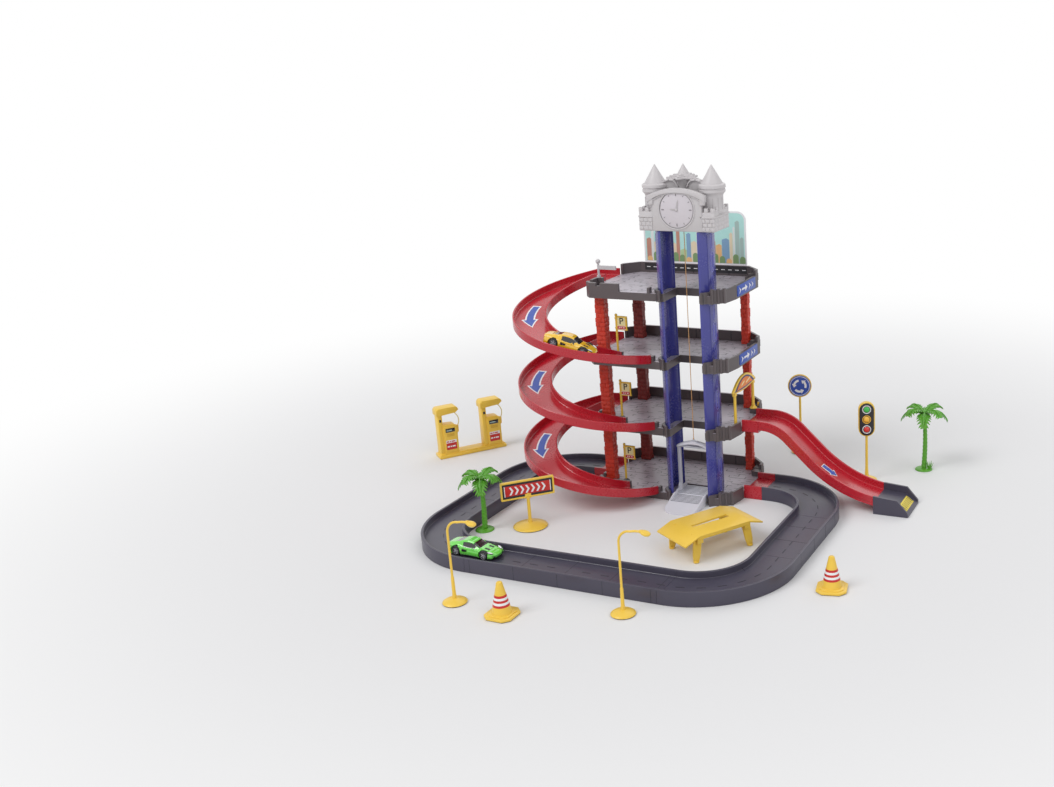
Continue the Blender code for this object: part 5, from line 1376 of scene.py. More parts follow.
def makeLift():
    left, right, floor, side, rise, post = (cage[key] for key in ("left", "right", "floor", "side", "rise", "post"))
    middle, y = lift["x"], lift["y"]
    parts = [ribbed("floor", left, right, cage["front"], cage["back"], floor - 0.006, floor, cage["ribs"])]

    def archLine(half, foot, base):
        points = [(middle - half, foot), (middle + half, foot)]
        for step in range(21):
            share = 1 - step / 10
            points.append((middle + share * half, base + rise * (1 - share * share)))
        return points

    half = (right - left) / 2
    outer = archLine(half, floor - 0.004, side)
    inner = archLine(half - post, floor - 0.003, side - post)
    parts.append(plate("arch", outer, y - post / 2, y + post / 2, "Y", 0.0007, holes=[inner[::-1]]))
    lip = archLine(half - 0.0002, side - 0.0022, side - 0.0002)
    parts.append(plate("crown", lip, y - post / 2 - 0.0022, y + post / 2 + 0.0022, "Y", 0.0006,
                       holes=[archLine(half - 0.0034, side - 0.0012, side - 0.0026)[::-1]]))
    for x0, x1 in ((left, left + post / 2), (right - post / 2, right)):
        cheek = [(cage["front"], floor - 0.004), (cage["back"], floor - 0.004), (cage["back"], floor + 0.0040),
                 (y + 0.006, floor + 0.0048), (y + 0.0032, floor + 0.0110), (y - 0.0032, floor + 0.0110),
                 (y - 0.006, floor + 0.0048), (cage["front"], floor + 0.0040)]
        parts.append(plate("cheek", cheek, x0, x1, "X", 0.0005))
    crown = side + cage["rise"]
    parts.append(block("saddle", (middle - 0.0052, y - 0.0026, crown - 0.0012),
                       (middle + 0.0052, y + 0.0026, crown + 0.0006), 0.0004))
    parts.append(tube("eye", ring(middle, y, crown + 0.0014, 0.0017, 0.0015, 24), 0.0006, closed=True))
    for part in parts:
        give(part, "lift")
    knot = ball("knot", (middle, y, crown + 0.0036), 0.0010, (1.1, 1.1, 0.9))
    parts.append(give(knot, "cord"))
    # dark strips in the grooves between the ribs, painted shade
    pitch = (cage["back"] - cage["front"]) / cage["ribs"]
    for index in range(cage["ribs"]):
        groove = cage["front"] + (index + 0.80) * pitch
        strip = block("groove", (left + 0.0021, groove - 0.19 * pitch, floor - 0.0014),
                      (right - 0.0021, groove + 0.15 * pitch, floor - 0.0002))
        parts.append(give(strip, "liftPaintedShade"))
    finishPiece(join("liftCage", parts), "lift", ["lift_car"])


def makeEntryRamp():
    low, high = nodeBox("lift_entry_ramp")
    left, right, tip, back, floor = low[0], high[0], low[1], high[1], cage["floor"]
    middle, half = (left + right) / 2, (right - left) / 2 - 0.0002
    slope = [(tip, 0), (back, 0), (back, floor - 0.0003)]
    for rib in range(7):
        y = back - rib * 0.0036
        slope += [(y - 0.0004, floor - 0.0001 - 0.00009 * rib), (y - 0.0019, floor - 0.0001 - 0.00009 * rib),
                  (y - 0.0022, floor - 0.0012), (y - 0.0034, floor - 0.0012)]
    slope += [(back - 0.0270, floor - 0.0020), (back - 0.0400, 0.0036), (tip + 0.001, 0.0012), (tip, 0.0008)]
    body = plate("body", slope, left, right, "X")
    plan = [(right - 0.0001, back + 0.01), (left + 0.0001, back + 0.01)]
    roundY = tip + half * 0.55
    plan += [(middle + half * math.cos(math.radians(a)), roundY + half * 0.55 * math.sin(math.radians(a)))
             for a in range(180, 361, 6)]
    carve(body, plate("cover", plan, -0.01, 0.03), "INTERSECT")
    parts = [body]
    for x0, x1 in ((left, left + 0.0022), (right - 0.0022, right)):
        cheek = [(back, 0.001), (back, floor + 0.004), (back - 0.008, floor + 0.004),
                 (back - 0.012, floor + 0.0034), (back - 0.0290, 0.0062), (back - 0.0322, 0.001)]
        parts.append(plate("cheek", cheek[::-1], x0, x1, "X", 0.0005))
    rim = [(middle + (half - 0.0012) * math.cos(math.radians(a)),
            roundY + (half - 0.0012) * 0.55 * math.sin(math.radians(a)), 0.0017)
           for a in range(184, 357, 6)]
    parts.append(tube("rim", rim, 0.0007))
    for part in parts:
        give(part, "lift")
    # dark strips in the grooves between the ribs, painted shade
    for rib in range(7):
        groove = back - rib * 0.0036 - 0.0028
        strip = block("groove", (left + 0.0023, groove - 0.0005, floor - 0.0015 - 0.00009 * rib),
                      (right - 0.0023, groove + 0.0005, floor - 0.0003 - 0.00009 * rib))
        parts.append(give(strip, "liftPaintedShade"))
    finishPiece(join("entryRamp", parts), garage, ["lift_entry_ramp"])


def makeWinch():
    x, z, y = lift["drumX"], lift["drumZ"], lift["y"]
    front, back, rear = y - 0.006, y + 0.006, head["back"]

    def turnedAlongY(name, profile):
        piece = turned(name, profile, steps=40)
        piece.data.transform(Matrix.Translation((x, 0, z)) @ Matrix.Rotation(-math.pi / 2, 4, "X"))
        return piece

    parts = [give(turnedAlongY("drum", [
        (0, front - 0.003), (0.0022, front - 0.003), (0.0022, front - 0.0015), (0.0091, front - 0.0015),
        (0.0095, front - 0.0011), (0.0095, front - 0.0003), (0.0091, front), (0.0066, front), (0.0066, back),
        (0.0091, back), (0.0095, back + 0.0004), (0.0095, back + 0.0012), (0.0091, back + 0.0015),
        (0.0022, back + 0.0015), (0.0022, rear + 0.0053), (0, rear + 0.0053)][::-1]),
        "head")]
    coils = []
    for step in range(8 * 32 + 1):
        angle = math.tau * step / 32
        coils.append((x + 0.0066 * math.cos(angle), front + 0.0008 + (back - front - 0.0016) * step / 256,
                      z + 0.0066 * math.sin(angle)))
    parts.append(give(tube("coils", coils, 0.00048, resolution=1), "cord"))
    finishPiece(join("liftDrum", parts), "winch", ["lift_drum"])
    hub, arm = rear + 0.0013, 0.016
    crank = [give(turnedAlongY("hub", [(0, hub + 0.0050), (0.0040, hub + 0.0050), (0.0050, hub + 0.0042),
                                       (0.0050, hub), (0, hub)]), "lift")]
    armOutline = arc(x, z, 0.0036, 0, 180, 10) + arc(x, z - arm, 0.0030, 180, 360, 10)
    crank.append(give(plate("arm", armOutline, hub + 0.0015, hub + 0.0045, "Y", 0.0005), "lift"))
    grip = turned("grip", [(0, hub + 0.0150), (0.0028, hub + 0.0150), (0.0038, hub + 0.0138),
                           (0.0034, hub + 0.0090), (0.0040, hub + 0.0046), (0.0032, hub + 0.0036),
                           (0, hub + 0.0036)], steps=36)
    grip.data.transform(Matrix.Translation((x, 0, z - arm)) @ Matrix.Rotation(-math.pi / 2, 4, "X"))
    crank.append(give(grip, "lift"))
    finishPiece(join("liftCrank", crank), "winch", ["lift_crank"])


def makeCord():
    # two strands twisted together, from the drum down to the lift's eye
    low, high = cage["side"] + cage["rise"] + 0.0046, nodeBox("lift_cord")[1][2]
    parts = []
    for strand in range(2):
        points = []
        for step in range(361):
            share = step / 360
            angle = math.pi * strand + 63 * math.tau * share
            points.append((lift["x"] + 0.00022 * math.cos(angle), lift["y"] + 0.00022 * math.sin(angle),
                           low + (high - low) * share))
        parts.append(give(tube("strand", points, 0.00034, resolution=1), "cord"))
    piece = finishPiece(join("liftCord", parts), garage, ["lift_cord"])
    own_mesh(piece)


makeLift()
makeEntryRamp()
makeWinch()
makeCord()
print("lift and winch ready")


# Toy cars

car = {
    "long": 0.069,
    "half": 0.0145,
    "low": 0.0022,
    "wheel": 0.0060,
    "wheelWide": 0.0045,
    "base": 0.040,
    # from tail to nose: place, share of the half width, shoulder height, roof height
    "stations": (
        (-0.500, 0.80, 0.0110, 0.0122), (-0.455, 0.94, 0.0120, 0.0134), (-0.400, 0.99, 0.0124, 0.0140),
        (-0.280, 1.00, 0.0121, 0.0158), (-0.160, 0.97, 0.0112, 0.0180), (-0.060, 0.95, 0.0106, 0.0187),
        (0.030, 0.94, 0.0104, 0.0182), (0.110, 0.95, 0.0103, 0.0150),
        (0.180, 0.96, 0.0102, 0.0122), (0.300, 1.00, 0.0101, 0.0108), (0.400, 0.96, 0.0086, 0.0092),
        (0.460, 0.84, 0.0070, 0.0076), (0.500, 0.62, 0.0052, 0.0058)),
}


def carShape(place):
    stations = car["stations"]
    for first, second in zip(stations, stations[1:]):
        if place <= second[0] + 1e-9:
            share = max(0, (place - first[0]) / (second[0] - first[0]))
            share = share * share * (3 - 2 * share)
            return [a + (b - a) * share for a, b in zip(first[1:], second[1:])]
    return list(stations[-1][1:])


def makeCarBody(name, paint):
    half, low, long = car["half"], car["low"], car["long"]
    body = subdivided(block(name, (-1, -1, -1), (1, 1, 1)), 31)
    for vertex in body.data.vertices:
        a, b, c = vertex.co
        wide, shoulder, roof = carShape(a / 2)
        rise = (c + 1) / 2
        side = half * wide * (0.93 + 0.07 * math.sin(math.pi * min(rise * 1.1, 1)))
        y = b * side
        z = low + (shoulder - low) * rise
        if rise > 0:
            inside = abs(b)
            edge = min(max((inside - 0.52) / 0.34, 0), 1)
            dome = (1 - edge * edge * (3 - 2 * edge)) * (roof - shoulder) + 0.0006 * (1 - inside ** 6)
            z += dome * rise ** 4
        x = a * long / 2 - (0.0022 * abs(b) ** 3 if a > 0.9 else 0) * (a - 0.9) * 10 + (0.0012 * abs(b) ** 3
                                                                                        if a < -0.9 else 0)
        x -= 0.0016 * (1 - rise) * (1 if a > 0.97 else 0)
        vertex.co = (x, y, z)
    give(body, paint)
    mesh = body.data
    for finish in ("window", "dark"):
        mesh.materials.append(finishes[finish])
    for face in mesh.polygons:
        x, y, z = face.center
        place = x / long
        wide, shoulder, roof = carShape(place)
        across = abs(y) / (half * wide)
        raised = z > shoulder + 0.0007
        windscreen = 0.058 < place < 0.185 and across < 0.62 - 0.6 * max(0, place - 0.12) and face.normal.z > 0.3
        rear = -0.300 < place < -0.175 and across < 0.46 and face.normal.z > 0.3
        sideGlass = -0.150 < place < 0.085 and 0.60 < across < 0.84 and raised and abs(face.normal.y) > 0.25
        vent = abs(across - 0.30) < 0.10 and 0.255 < place < 0.345 and face.normal.z > 0.5
        sill = z < low + 0.0012
        if windscreen or rear or sideGlass:
            face.material_index = 1
        elif vent or sill:
            face.material_index = 2
    for x in (-car["base"] / 2, car["base"] / 2):
        for side in (-1, 1):
            inner, outer = side * (half - car["wheelWide"] - 0.0015), side * (half + 0.004)
            carve(body, rod("arch", (x, inner, car["wheel"]), (x, outer, car["wheel"]), car["wheel"] + 0.0010,
                            sides=40))
        carve(body, rod("bore", (x, -0.02, car["wheel"]), (x, 0.02, car["wheel"]), 0.0013, sides=16))
    parts = [body]
    front, back = 0.460 * long, -0.497 * long
    for side in (-1, 1):
        slant = Matrix.Rotation(math.radians(-side * 22), 4, "Z") @ Matrix.Rotation(math.radians(14), 4, "Y")
        for part, place, z, radius, scale, finish in (("lamp", 0.405, 0.0092, 0.0021, (1.7, 0.75, 0.5), "white"),
                                                      ("shade", 0.400, 0.0090, 0.0024, (1.8, 0.9, 0.42), "dark")):
            lamp = ball(part, (0, 0, 0), radius, scale)
            lamp.data.transform(Matrix.Translation((place * long, side * 0.0098, z)) @ slant)
            parts.append(give(lamp, finish))
        intake = plate("intake", [(-0.0105, 0.0070), (-0.0040, 0.0078), (-0.0032, 0.0096), (-0.0100, 0.0106)],
                       side * 0.0139 - 0.0003, side * 0.0139 + 0.0003, "Y")
        parts.append(give(intake, "dark"))
        parts.append(give(block("tail", (back - 0.0003, side * 0.0070 - 0.0026, 0.0094),
                                (back + 0.0006, side * 0.0070 + 0.0026, 0.0108), 0.0003),
                          "redLamp"))
        mirror = ball("mirror", (0.060 * long, side * 0.0126, 0.0125), 0.0012, (0.9, 1.1, 0.7))
        parts.append(give(mirror, paint))
        grille = block("grille", (front, side * 0.0062 - 0.0026, 0.0036),
                       (front + 0.0012, side * 0.0062 + 0.0026, 0.0050), 0.0003)
        parts.append(give(grille, "dark"))
    for index in range(3):
        x = (-0.350 - 0.028 * index) * long
        parts.append(give(block("slat", (x - 0.0005, -0.0052, 0.0144 - 0.0006 * index),
                                (x + 0.0005, 0.0052, 0.0153 - 0.0006 * index), 0.0002),
                          "dark"))
    parts.append(give(block("diffuser", (back + 0.0004, -0.0086, 0.0028), (back + 0.0018, 0.0086, 0.0056), 0.0004),
                      "dark"))
    return join(name, parts)


def makeWheels(name):
    half, radius, wide = car["half"], car["wheel"], car["wheelWide"]
    parts = [give(rod("axle", (0, -half + 0.002, 0), (0, half - 0.002, 0), 0.0010, sides=20), "rim")]
    for side in (-1, 1):
        outer = half - 0.0010
        inner = outer - wide
        tyre = turned("tyre", [(0.0036, outer), (radius - 0.0009, outer), (radius - 0.0002, outer - 0.0005),
                               (radius, outer - 0.0012), (radius, inner + 0.0010),
                               (radius - 0.0004, inner + 0.0003), (radius - 0.0010, inner), (0.0036, inner),
                               (0.0036, outer)], steps=48)
        dish = turned("dish", [(0, outer - 0.0016), (0.0035, outer - 0.0014), (0.0037, outer - 0.0001),
                               (0.0041, outer + 0.0001), (0.0041, outer - 0.0006), (0.0036, inner + 0.0004),
                               (0, inner + 0.0004)], steps=48)
        made = [give(tyre, "tyre"), give(dish, "rim")]
        for spoke in range(5):
            arm = block("spoke", (0.0005, -0.0005, outer - 0.0016), (0.0037, 0.0005, outer - 0.0002), 0.0002)
            arm.data.transform(Matrix.Rotation(math.tau * spoke / 5, 4, "Z"))
            made.append(give(arm, "rim"))
        made.append(give(turned("cap", [(0, outer + 0.0001), (0.0009, outer), (0.0012, outer - 0.0004),
                                        (0.0012, outer - 0.0014), (0, outer - 0.0014)],
                                steps=24), "rim"))
        wheel = join("wheel", made)
        wheel.data.transform(Matrix.Rotation(-side * math.pi / 2, 4, "X"))
        parts.append(wheel)
    return join(name, parts)


def makeCars():
    share = (281 - 90) / spiral["sweep"]
    top = deck["floors"][3]
    before, here, after = [Vector(rampPlace(90 + spiral["sweep"] * (share + step), spiral["radius"], top))
                           for step in (-0.04, 0, 0.04)]
    forward = (after - before).normalized()
    side = Vector((0, 0, 1)).cross(forward).normalized()
    upward = forward.cross(side)
    turn = Matrix((forward, side, upward)).transposed().to_4x4()
    seat = before.lerp(after, 0.5).lerp(here, 0.5) + upward * 0.0015
    lane = Matrix.Translation((-road["arcX"] - 0.00035, road["frontY"] + 0.0035,
                               0.0103)) @ Matrix.Rotation(math.radians(-3), 4, "Z")
    for colour, paint, slotName, place in (("yellow", "carYellow", "car_yellow_paint", Matrix.Translation(seat)
                                            @ turn),
                                           ("green", "carGreen", "car_green_paint", lane)):
        body = makeCarBody(f"{colour}Car", paint)
        body.data.transform(place)
        finishPiece(body, garage, [f"{colour}_car_body"], 40)
        for where, x in (("front", car["base"] / 2), ("rear", -car["base"] / 2)):
            wheels = makeWheels(f"{colour}Car{where.title()}Wheels")
            wheels.data.transform(place @ Matrix.Translation((x, 0, car["wheel"])))
            finishPiece(wheels, f"{colour}_car_{where}_axle", [f"{colour}_car_{where}_wheels"])


makeCars()
print("cars ready")


# Set pieces round the garage

# where each loose piece stands: x, y, z and its turn in degrees
standsAt = {
    "chevronSign": (-0.124, -0.200, 0, 45),
    "roundaboutSign": (0.112, 0.166, 0, 20),
    "trafficLight": (0.235, 0.085, 0, 20),
    "petrolPumps": (-0.3665, 0.024, 0, 53),
    "slottedBridge": (0.1205, -0.185, 0, 58),
}


def stand(name, parts, replaced):
    finishPiece(put(join(name, parts), *standsAt[name]), garage, [replaced])


def footing(radius, height):
    # a low round foot with a dark lower edge
    shell = turned("foot", [(0, height), (0.16 * radius, height), (0.45 * radius, 0.86 * height),
                            (0.80 * radius, 0.55 * height), (0.97 * radius, 0.30 * height),
                            (radius, 0.16 * height), (radius, 0.0010), (0.98 * radius, 0.0008), (0, 0.0008)],
                   steps=56)
    sole = turned("sole", [(0, 0.0010), (0.96 * radius, 0.0010), (0.97 * radius, 0.0006), (0.95 * radius, 0),
                           (0, 0)], steps=56)
    return [give(shell, "yellow"), give(sole, "dark")]


def makeLamp(name, x, y, replaced):
    height, reach, bend = 0.098, 0.034, 0.014
    parts = footing(0.014, 0.006)
    path = [(0, 0, 0.028), (0, 0, height - bend)]
    for step in range(1, 15):
        angle = math.pi / 2 * step / 14
        path.append((bend * (1 - math.cos(angle)), 0, height - bend + bend * math.sin(angle)))
    path += [(0.020, 0, height + 0.0012), (reach - 0.004, 0, height + 0.0018)]
    parts.append(give(turned("socket", [(0, 0.032), (0.0014, 0.032), (0.0018, 0.030), (0.0021, 0.012),
                                        (0.0027, 0.0045), (0, 0.0045)], steps=32),
                      "yellow"))
    parts.append(give(tube("neck", path, 0.00135), "yellow"))
    hood = ball("hood", (0, 0, 0), 0.0048, (1.25, 1.0, 0.55))
    hood.data.transform(Matrix.Translation((reach - 0.0015, 0, height + 0.0006))
                        @ Matrix.Rotation(math.radians(12), 4, "Y"))
    lens = ball("lens", (0, 0, 0), 0.0036, (1.2, 0.95, 0.45))
    lens.data.transform(Matrix.Translation((reach - 0.0015, 0, height - 0.0012))
                        @ Matrix.Rotation(math.radians(12), 4, "Y"))
    collar = rod("collar", (reach - 0.0085, 0, height + 0.0017), (reach - 0.0050, 0, height + 0.0014), 0.0018,
                 0.0026, 24, 0.0003)
    parts += [give(hood, "yellow"), give(lens, "cream"), give(collar, "yellow")]
    finishPiece(put(join(name, parts), x, y), garage, replaced)


def makeCone(name, x, y, turn, replaced):
    half, corner = 0.017, 0.0102
    foot = [(half, -corner), (half, corner), (corner, half), (-corner, half), (-half, corner), (-half, -corner),
            (-corner, -half), (corner, -half)]
    parts = [give(plate("foot", foot, 0.0006, 0.0032, edge=0.0006), "yellow"),
             give(plate("sole", [(0.96 * px, 0.96 * py) for px, py in foot], 0, 0.0010), "dark"),
             give(plate("step", [(0.80 * px, 0.80 * py) for px, py in foot], 0.003, 0.0042, edge=0.0004), "yellow")]
    low, high, wide, narrow = 0.004, 0.0395, 0.0112, 0.0032

    def radius(z):
        return wide + (narrow - wide) * (z - low) / (high - low)

    bands = [(low, 0.0125, "yellow")]
    z = 0.0125
    for index in range(5):
        bands.append((z, z + 0.0026, "redPrint" if index % 2 == 0 else "white"))
        z += 0.0026
    bands.append((z, high - 0.0008, "yellow"))
    for start, end, finish in bands:
        proud = 0.00015 if finish != "yellow" else 0
        parts.append(give(turned("band", [(0, end), (radius(end) + proud, end), (radius(start) + proud, start),
                                          (0, start)], steps=48), finish))
    parts.append(give(turned("tip", [(0, 0.0400), (0.0022, 0.0400), (0.0031, 0.0394), (0.0033, 0.0385),
                                     (0, 0.0385)], steps=48), "yellow"))
    piece = put(join(name, parts), x, y, 0, turn)
    finishPiece(piece, garage, replaced)


palmTree = {
    "fronds": 8,
    "teeth": 9,
    "halfWidth": 0.0100,
    "thick": 0.0012,
}


def makeFrond(length, droop, rise):
    # a toothed leaf along +X, bent over its length
    teeth = palmTree["teeth"]
    upper = []
    for tooth in range(teeth):
        share = (tooth + 0.35) / teeth
        reach = palmTree["halfWidth"] * math.sin(math.pi * (0.14 + 0.80 * share)) ** 0.8
        upper.append((length * share, 0.42 * reach))
        upper.append((length * min(share + 1.35 / teeth, 1.0), reach))
    upper.append((length, 0.0012))
    outline = [(0, 0.0014), *upper]
    outline = outline + [(px, -py) for px, py in outline[::-1]]
    leaf = plate("frond", outline[::-1], -palmTree["thick"] / 2, palmTree["thick"] / 2)
    rib = block("rib", (0, -0.0007, -0.0002), (length * 0.96, 0.0007, 0.0011))
    frond = join("frond", [subdivided(leaf, 2), subdivided(rib, 7)])
    for vertex in frond.data.vertices:
        u, v, w = vertex.co
        share = u / length
        z = rise * math.sin(0.62 * math.pi * share) - droop * share ** 2.4 - 0.30 * abs(v)
        vertex.co = (u * (1 - 0.10 * share * share), v, z + w)
    return frond


def makePalm(name, x, y, height, spread, turn, replaced, tuft):
    crown = height - 0.0105
    parts = []
    rings, profile = 15, []
    for ring in range(rings):
        z0, z1 = 0.002 + crown * ring / rings, 0.002 + crown * (ring + 1) / rings
        base = 0.0037 - 0.0011 * ring / rings
        profile += [(base - 0.0005, z0), (base, z1 - 0.0006), (base - 0.0002, z1)]
    trunk = turned("trunk", [(0, 0), *profile, (0, crown + 0.003)], steps=32)
    for vertex in trunk.data.vertices:
        share = vertex.co.z / crown
        vertex.co.x += 0.0016 * math.sin(math.pi * min(max(share, 0), 1))
    parts.append(trunk)
    parts.append(turned("foot", [(0, 0.0026), (0.0060, 0.0024), (0.0104, 0.0018), (0.0118, 0.0010), (0.0120, 0),
                                 (0, 0)], steps=40))
    count = palmTree["fronds"]
    for index in range(count):
        # the upper fronds rise before they bend, the lower ones hang
        length, droop, rise = (0.46 * spread, 0.0110, 0.0140) if index % 2 else (0.49 * spread, 0.0180, 0.0080)
        frond = makeFrond(length, droop, rise)
        frond.data.transform(Matrix.Translation((0, 0, crown - 0.0006 * (index % 4)))
                             @ Matrix.Rotation(math.radians(360 / count * index + turn), 4, "Z"))
        parts.append(frond)
    parts.append(ball("bud", (0, 0, crown + 0.0012), 0.0036, (1, 1, 0.8)))
    if tuft:
        for index in range(7):
            blade = plate("blade", [(-0.0011, 0), (0.0011, 0), (0.0006, 0.008), (0, 0.0125 - 0.0009 * (index % 3)),
                                    (-0.0007, 0.007)], -0.0003, 0.0003, "Y")
            tilt = Matrix.Rotation(math.radians(12 + 5 * (index % 3)), 4, "X")
            blade.data.transform(Matrix.Translation((0.0085, -0.0015, 0.001))
                                 @ Matrix.Rotation(math.radians(51 * index), 4, "Z")
                                 @ Matrix.Translation((0, -0.001, 0)) @ tilt)
            parts.append(blade)
    for part in parts:
        give(part, "palm")
    finishPiece(put(join(name, parts), x, y), garage, replaced, 50)


def makeChevronSign():
    parts = footing(0.022, 0.0065)
    parts.append(give(turned("post", [(0, 0.046), (0.0021, 0.046), (0.0022, 0.012), (0.0032, 0.0055), (0, 0.0055)],
                             steps=32), "yellow"))
    half, low, high = 0.0345, 0.040, 0.064
    parts.append(give(plate("frame", roundedBox(-half, low, half, high, 0.0012, 4), -0.0018, 0.0018, "Y", 0.0004,
                            holes=[roundedBox(-half + 0.0022, low + 0.0022, half - 0.0022, high - 0.0022, 0.0006,
                                              4)[::-1]]), "yellow"))
    parts.append(give(block("back", (-half + 0.001, -0.0010, low + 0.001), (half - 0.001, 0.0014, high - 0.001)),
                      "yellow"))
    parts.append(give(block("border", (-half + 0.0022, -0.0013, low + 0.0022),
                            (half - 0.0022, -0.0009, high - 0.0022)), "dark"))
    parts.append(give(block("panel", (-half + 0.0052, -0.0015, low + 0.0052),
                            (half - 0.0052, -0.0011, high - 0.0052), 0.0001), "redPrint"))
    for x0, x1 in ((-half + 0.0046, -half + 0.0056), (half - 0.0056, half - 0.0046)):
        parts.append(give(block("edge", (x0, -0.0016, low + 0.0050), (x1, -0.0012, high - 0.0050)), "white"))
    middle, tall = (low + high) / 2, 0.0052
    for index in range(7):
        x = -0.0236 + index * 0.0069
        chevron = [(x, middle - tall), (x + 0.0024, middle - tall), (x + 0.0056, middle),
                   (x + 0.0024, middle + tall), (x, middle + tall), (x + 0.0030, middle)]
        parts.append(give(plate("chevron", chevron, -0.0018, -0.0014, "Y"), "white"))
    parts.append(give(block("seat", (-0.0042, -0.0014, low - 0.0012), (0.0042, 0.0030, low + 0.0060), 0.0005),
                      "yellow"))
    stand("chevronSign", parts, "chevron_sign")


def makeRoundaboutSign():
    parts = footing(0.014, 0.006)
    parts.append(give(turned("post", [(0, 0.088), (0.0016, 0.088), (0.0018, 0.020), (0.0027, 0.0050), (0, 0.0050)],
                             steps=28), "yellow"))

    middle = 0.101

    def disc(radius, near, far, finish):
        return give(rod("disc", (0, near, middle), (0, far, middle), radius, sides=72, edge=0.00015), finish)

    parts += [disc(0.0170, -0.0014, 0.0015, "yellow"), disc(0.0156, -0.0017, -0.0012, "arrowBlue")]
    parts.append(give(tube("ring", ring(0, -0.0017, middle, 0.0140, 0.0140, 72), 0.0004, closed=True), "white"))
    for index in range(3):
        start = 100 + 120 * index
        outer, inner = arc(0, middle, 0.0098, start, start + 66, 12), arc(0, middle, 0.0068, start + 66, start, 12)
        parts.append(give(plate("arrow", outer + inner, -0.0021, -0.0016, "Y"), "white"))
        tipAngle = [math.radians(start + angle) for angle in (62, 62, 94)]
        tip = [(reach * math.cos(angle), middle + reach * math.sin(angle)) for reach,
               angle in zip((0.0118, 0.0048, 0.0086), tipAngle)]
        parts.append(give(plate("tip", [tip[0], tip[2], tip[1]], -0.0021, -0.0016, "Y"), "white"))
    stand("roundaboutSign", parts, "roundabout_sign")


def makeTrafficLight():
    parts = footing(0.014, 0.006)
    parts.append(give(turned("post", [(0, 0.070), (0.0017, 0.070), (0.0019, 0.020), (0.0028, 0.0050), (0, 0.0050)],
                             steps=28), "yellow"))
    half, low, high = 0.011, 0.064, 0.112

    def outline(inset):
        return arc(0, low + half, half - inset, 180, 360, 20) + arc(0, high - half, half - inset, 0, 180, 20)

    parts.append(give(plate("case", outline(0), -0.0032, 0.003, "Y", 0.0006), "yellow"))
    parts.append(give(plate("face", outline(0.0014), -0.0040, -0.0030, "Y", 0.0002), "dark"))
    for z, finish in ((0.102, "greenLamp"), (0.088, "amberLamp"), (0.074, "redLamp")):
        lens = ball("lens", (0, -0.0040, z), 0.0040, (1, 0.34, 1))
        rim = tube("ring", ring(0, -0.0041, z, 0.0053, 0.0053, 48), 0.00055, closed=True)
        parts += [give(lens, finish), give(rim, "amberLamp" if finish == "amberLamp" else "white")]
    stand("trafficLight", parts, "traffic_light")


pumps = {
    "pillars": (-0.034, 0.034),
    # printed panels: name, x from and to, y from and to, z from and to, edge, finish
    "panels": (("screen", -0.0056, 0.0086, -0.0103, -0.0095, 0.0390, 0.0450, 0.0003, "window"),
               ("glow", -0.0044, 0.0040, -0.0105, -0.0100, 0.0412, 0.0428, 0, "cardGrey"),
               ("strip", -0.0064, 0.0094, -0.0102, -0.0096, 0.0225, 0.0268, 0, "white"),
               ("label", -0.0064, 0.0094, -0.0102, -0.0096, 0.0120, 0.0225, 0, "redPrint")),
    # print marks: start and length
    "marks": ((0.0008, 0.0034), (0.0054, 0.0018), (0.0082, 0.0050)),
    "slots": (0.0330, 0.0345, 0.0360),
}


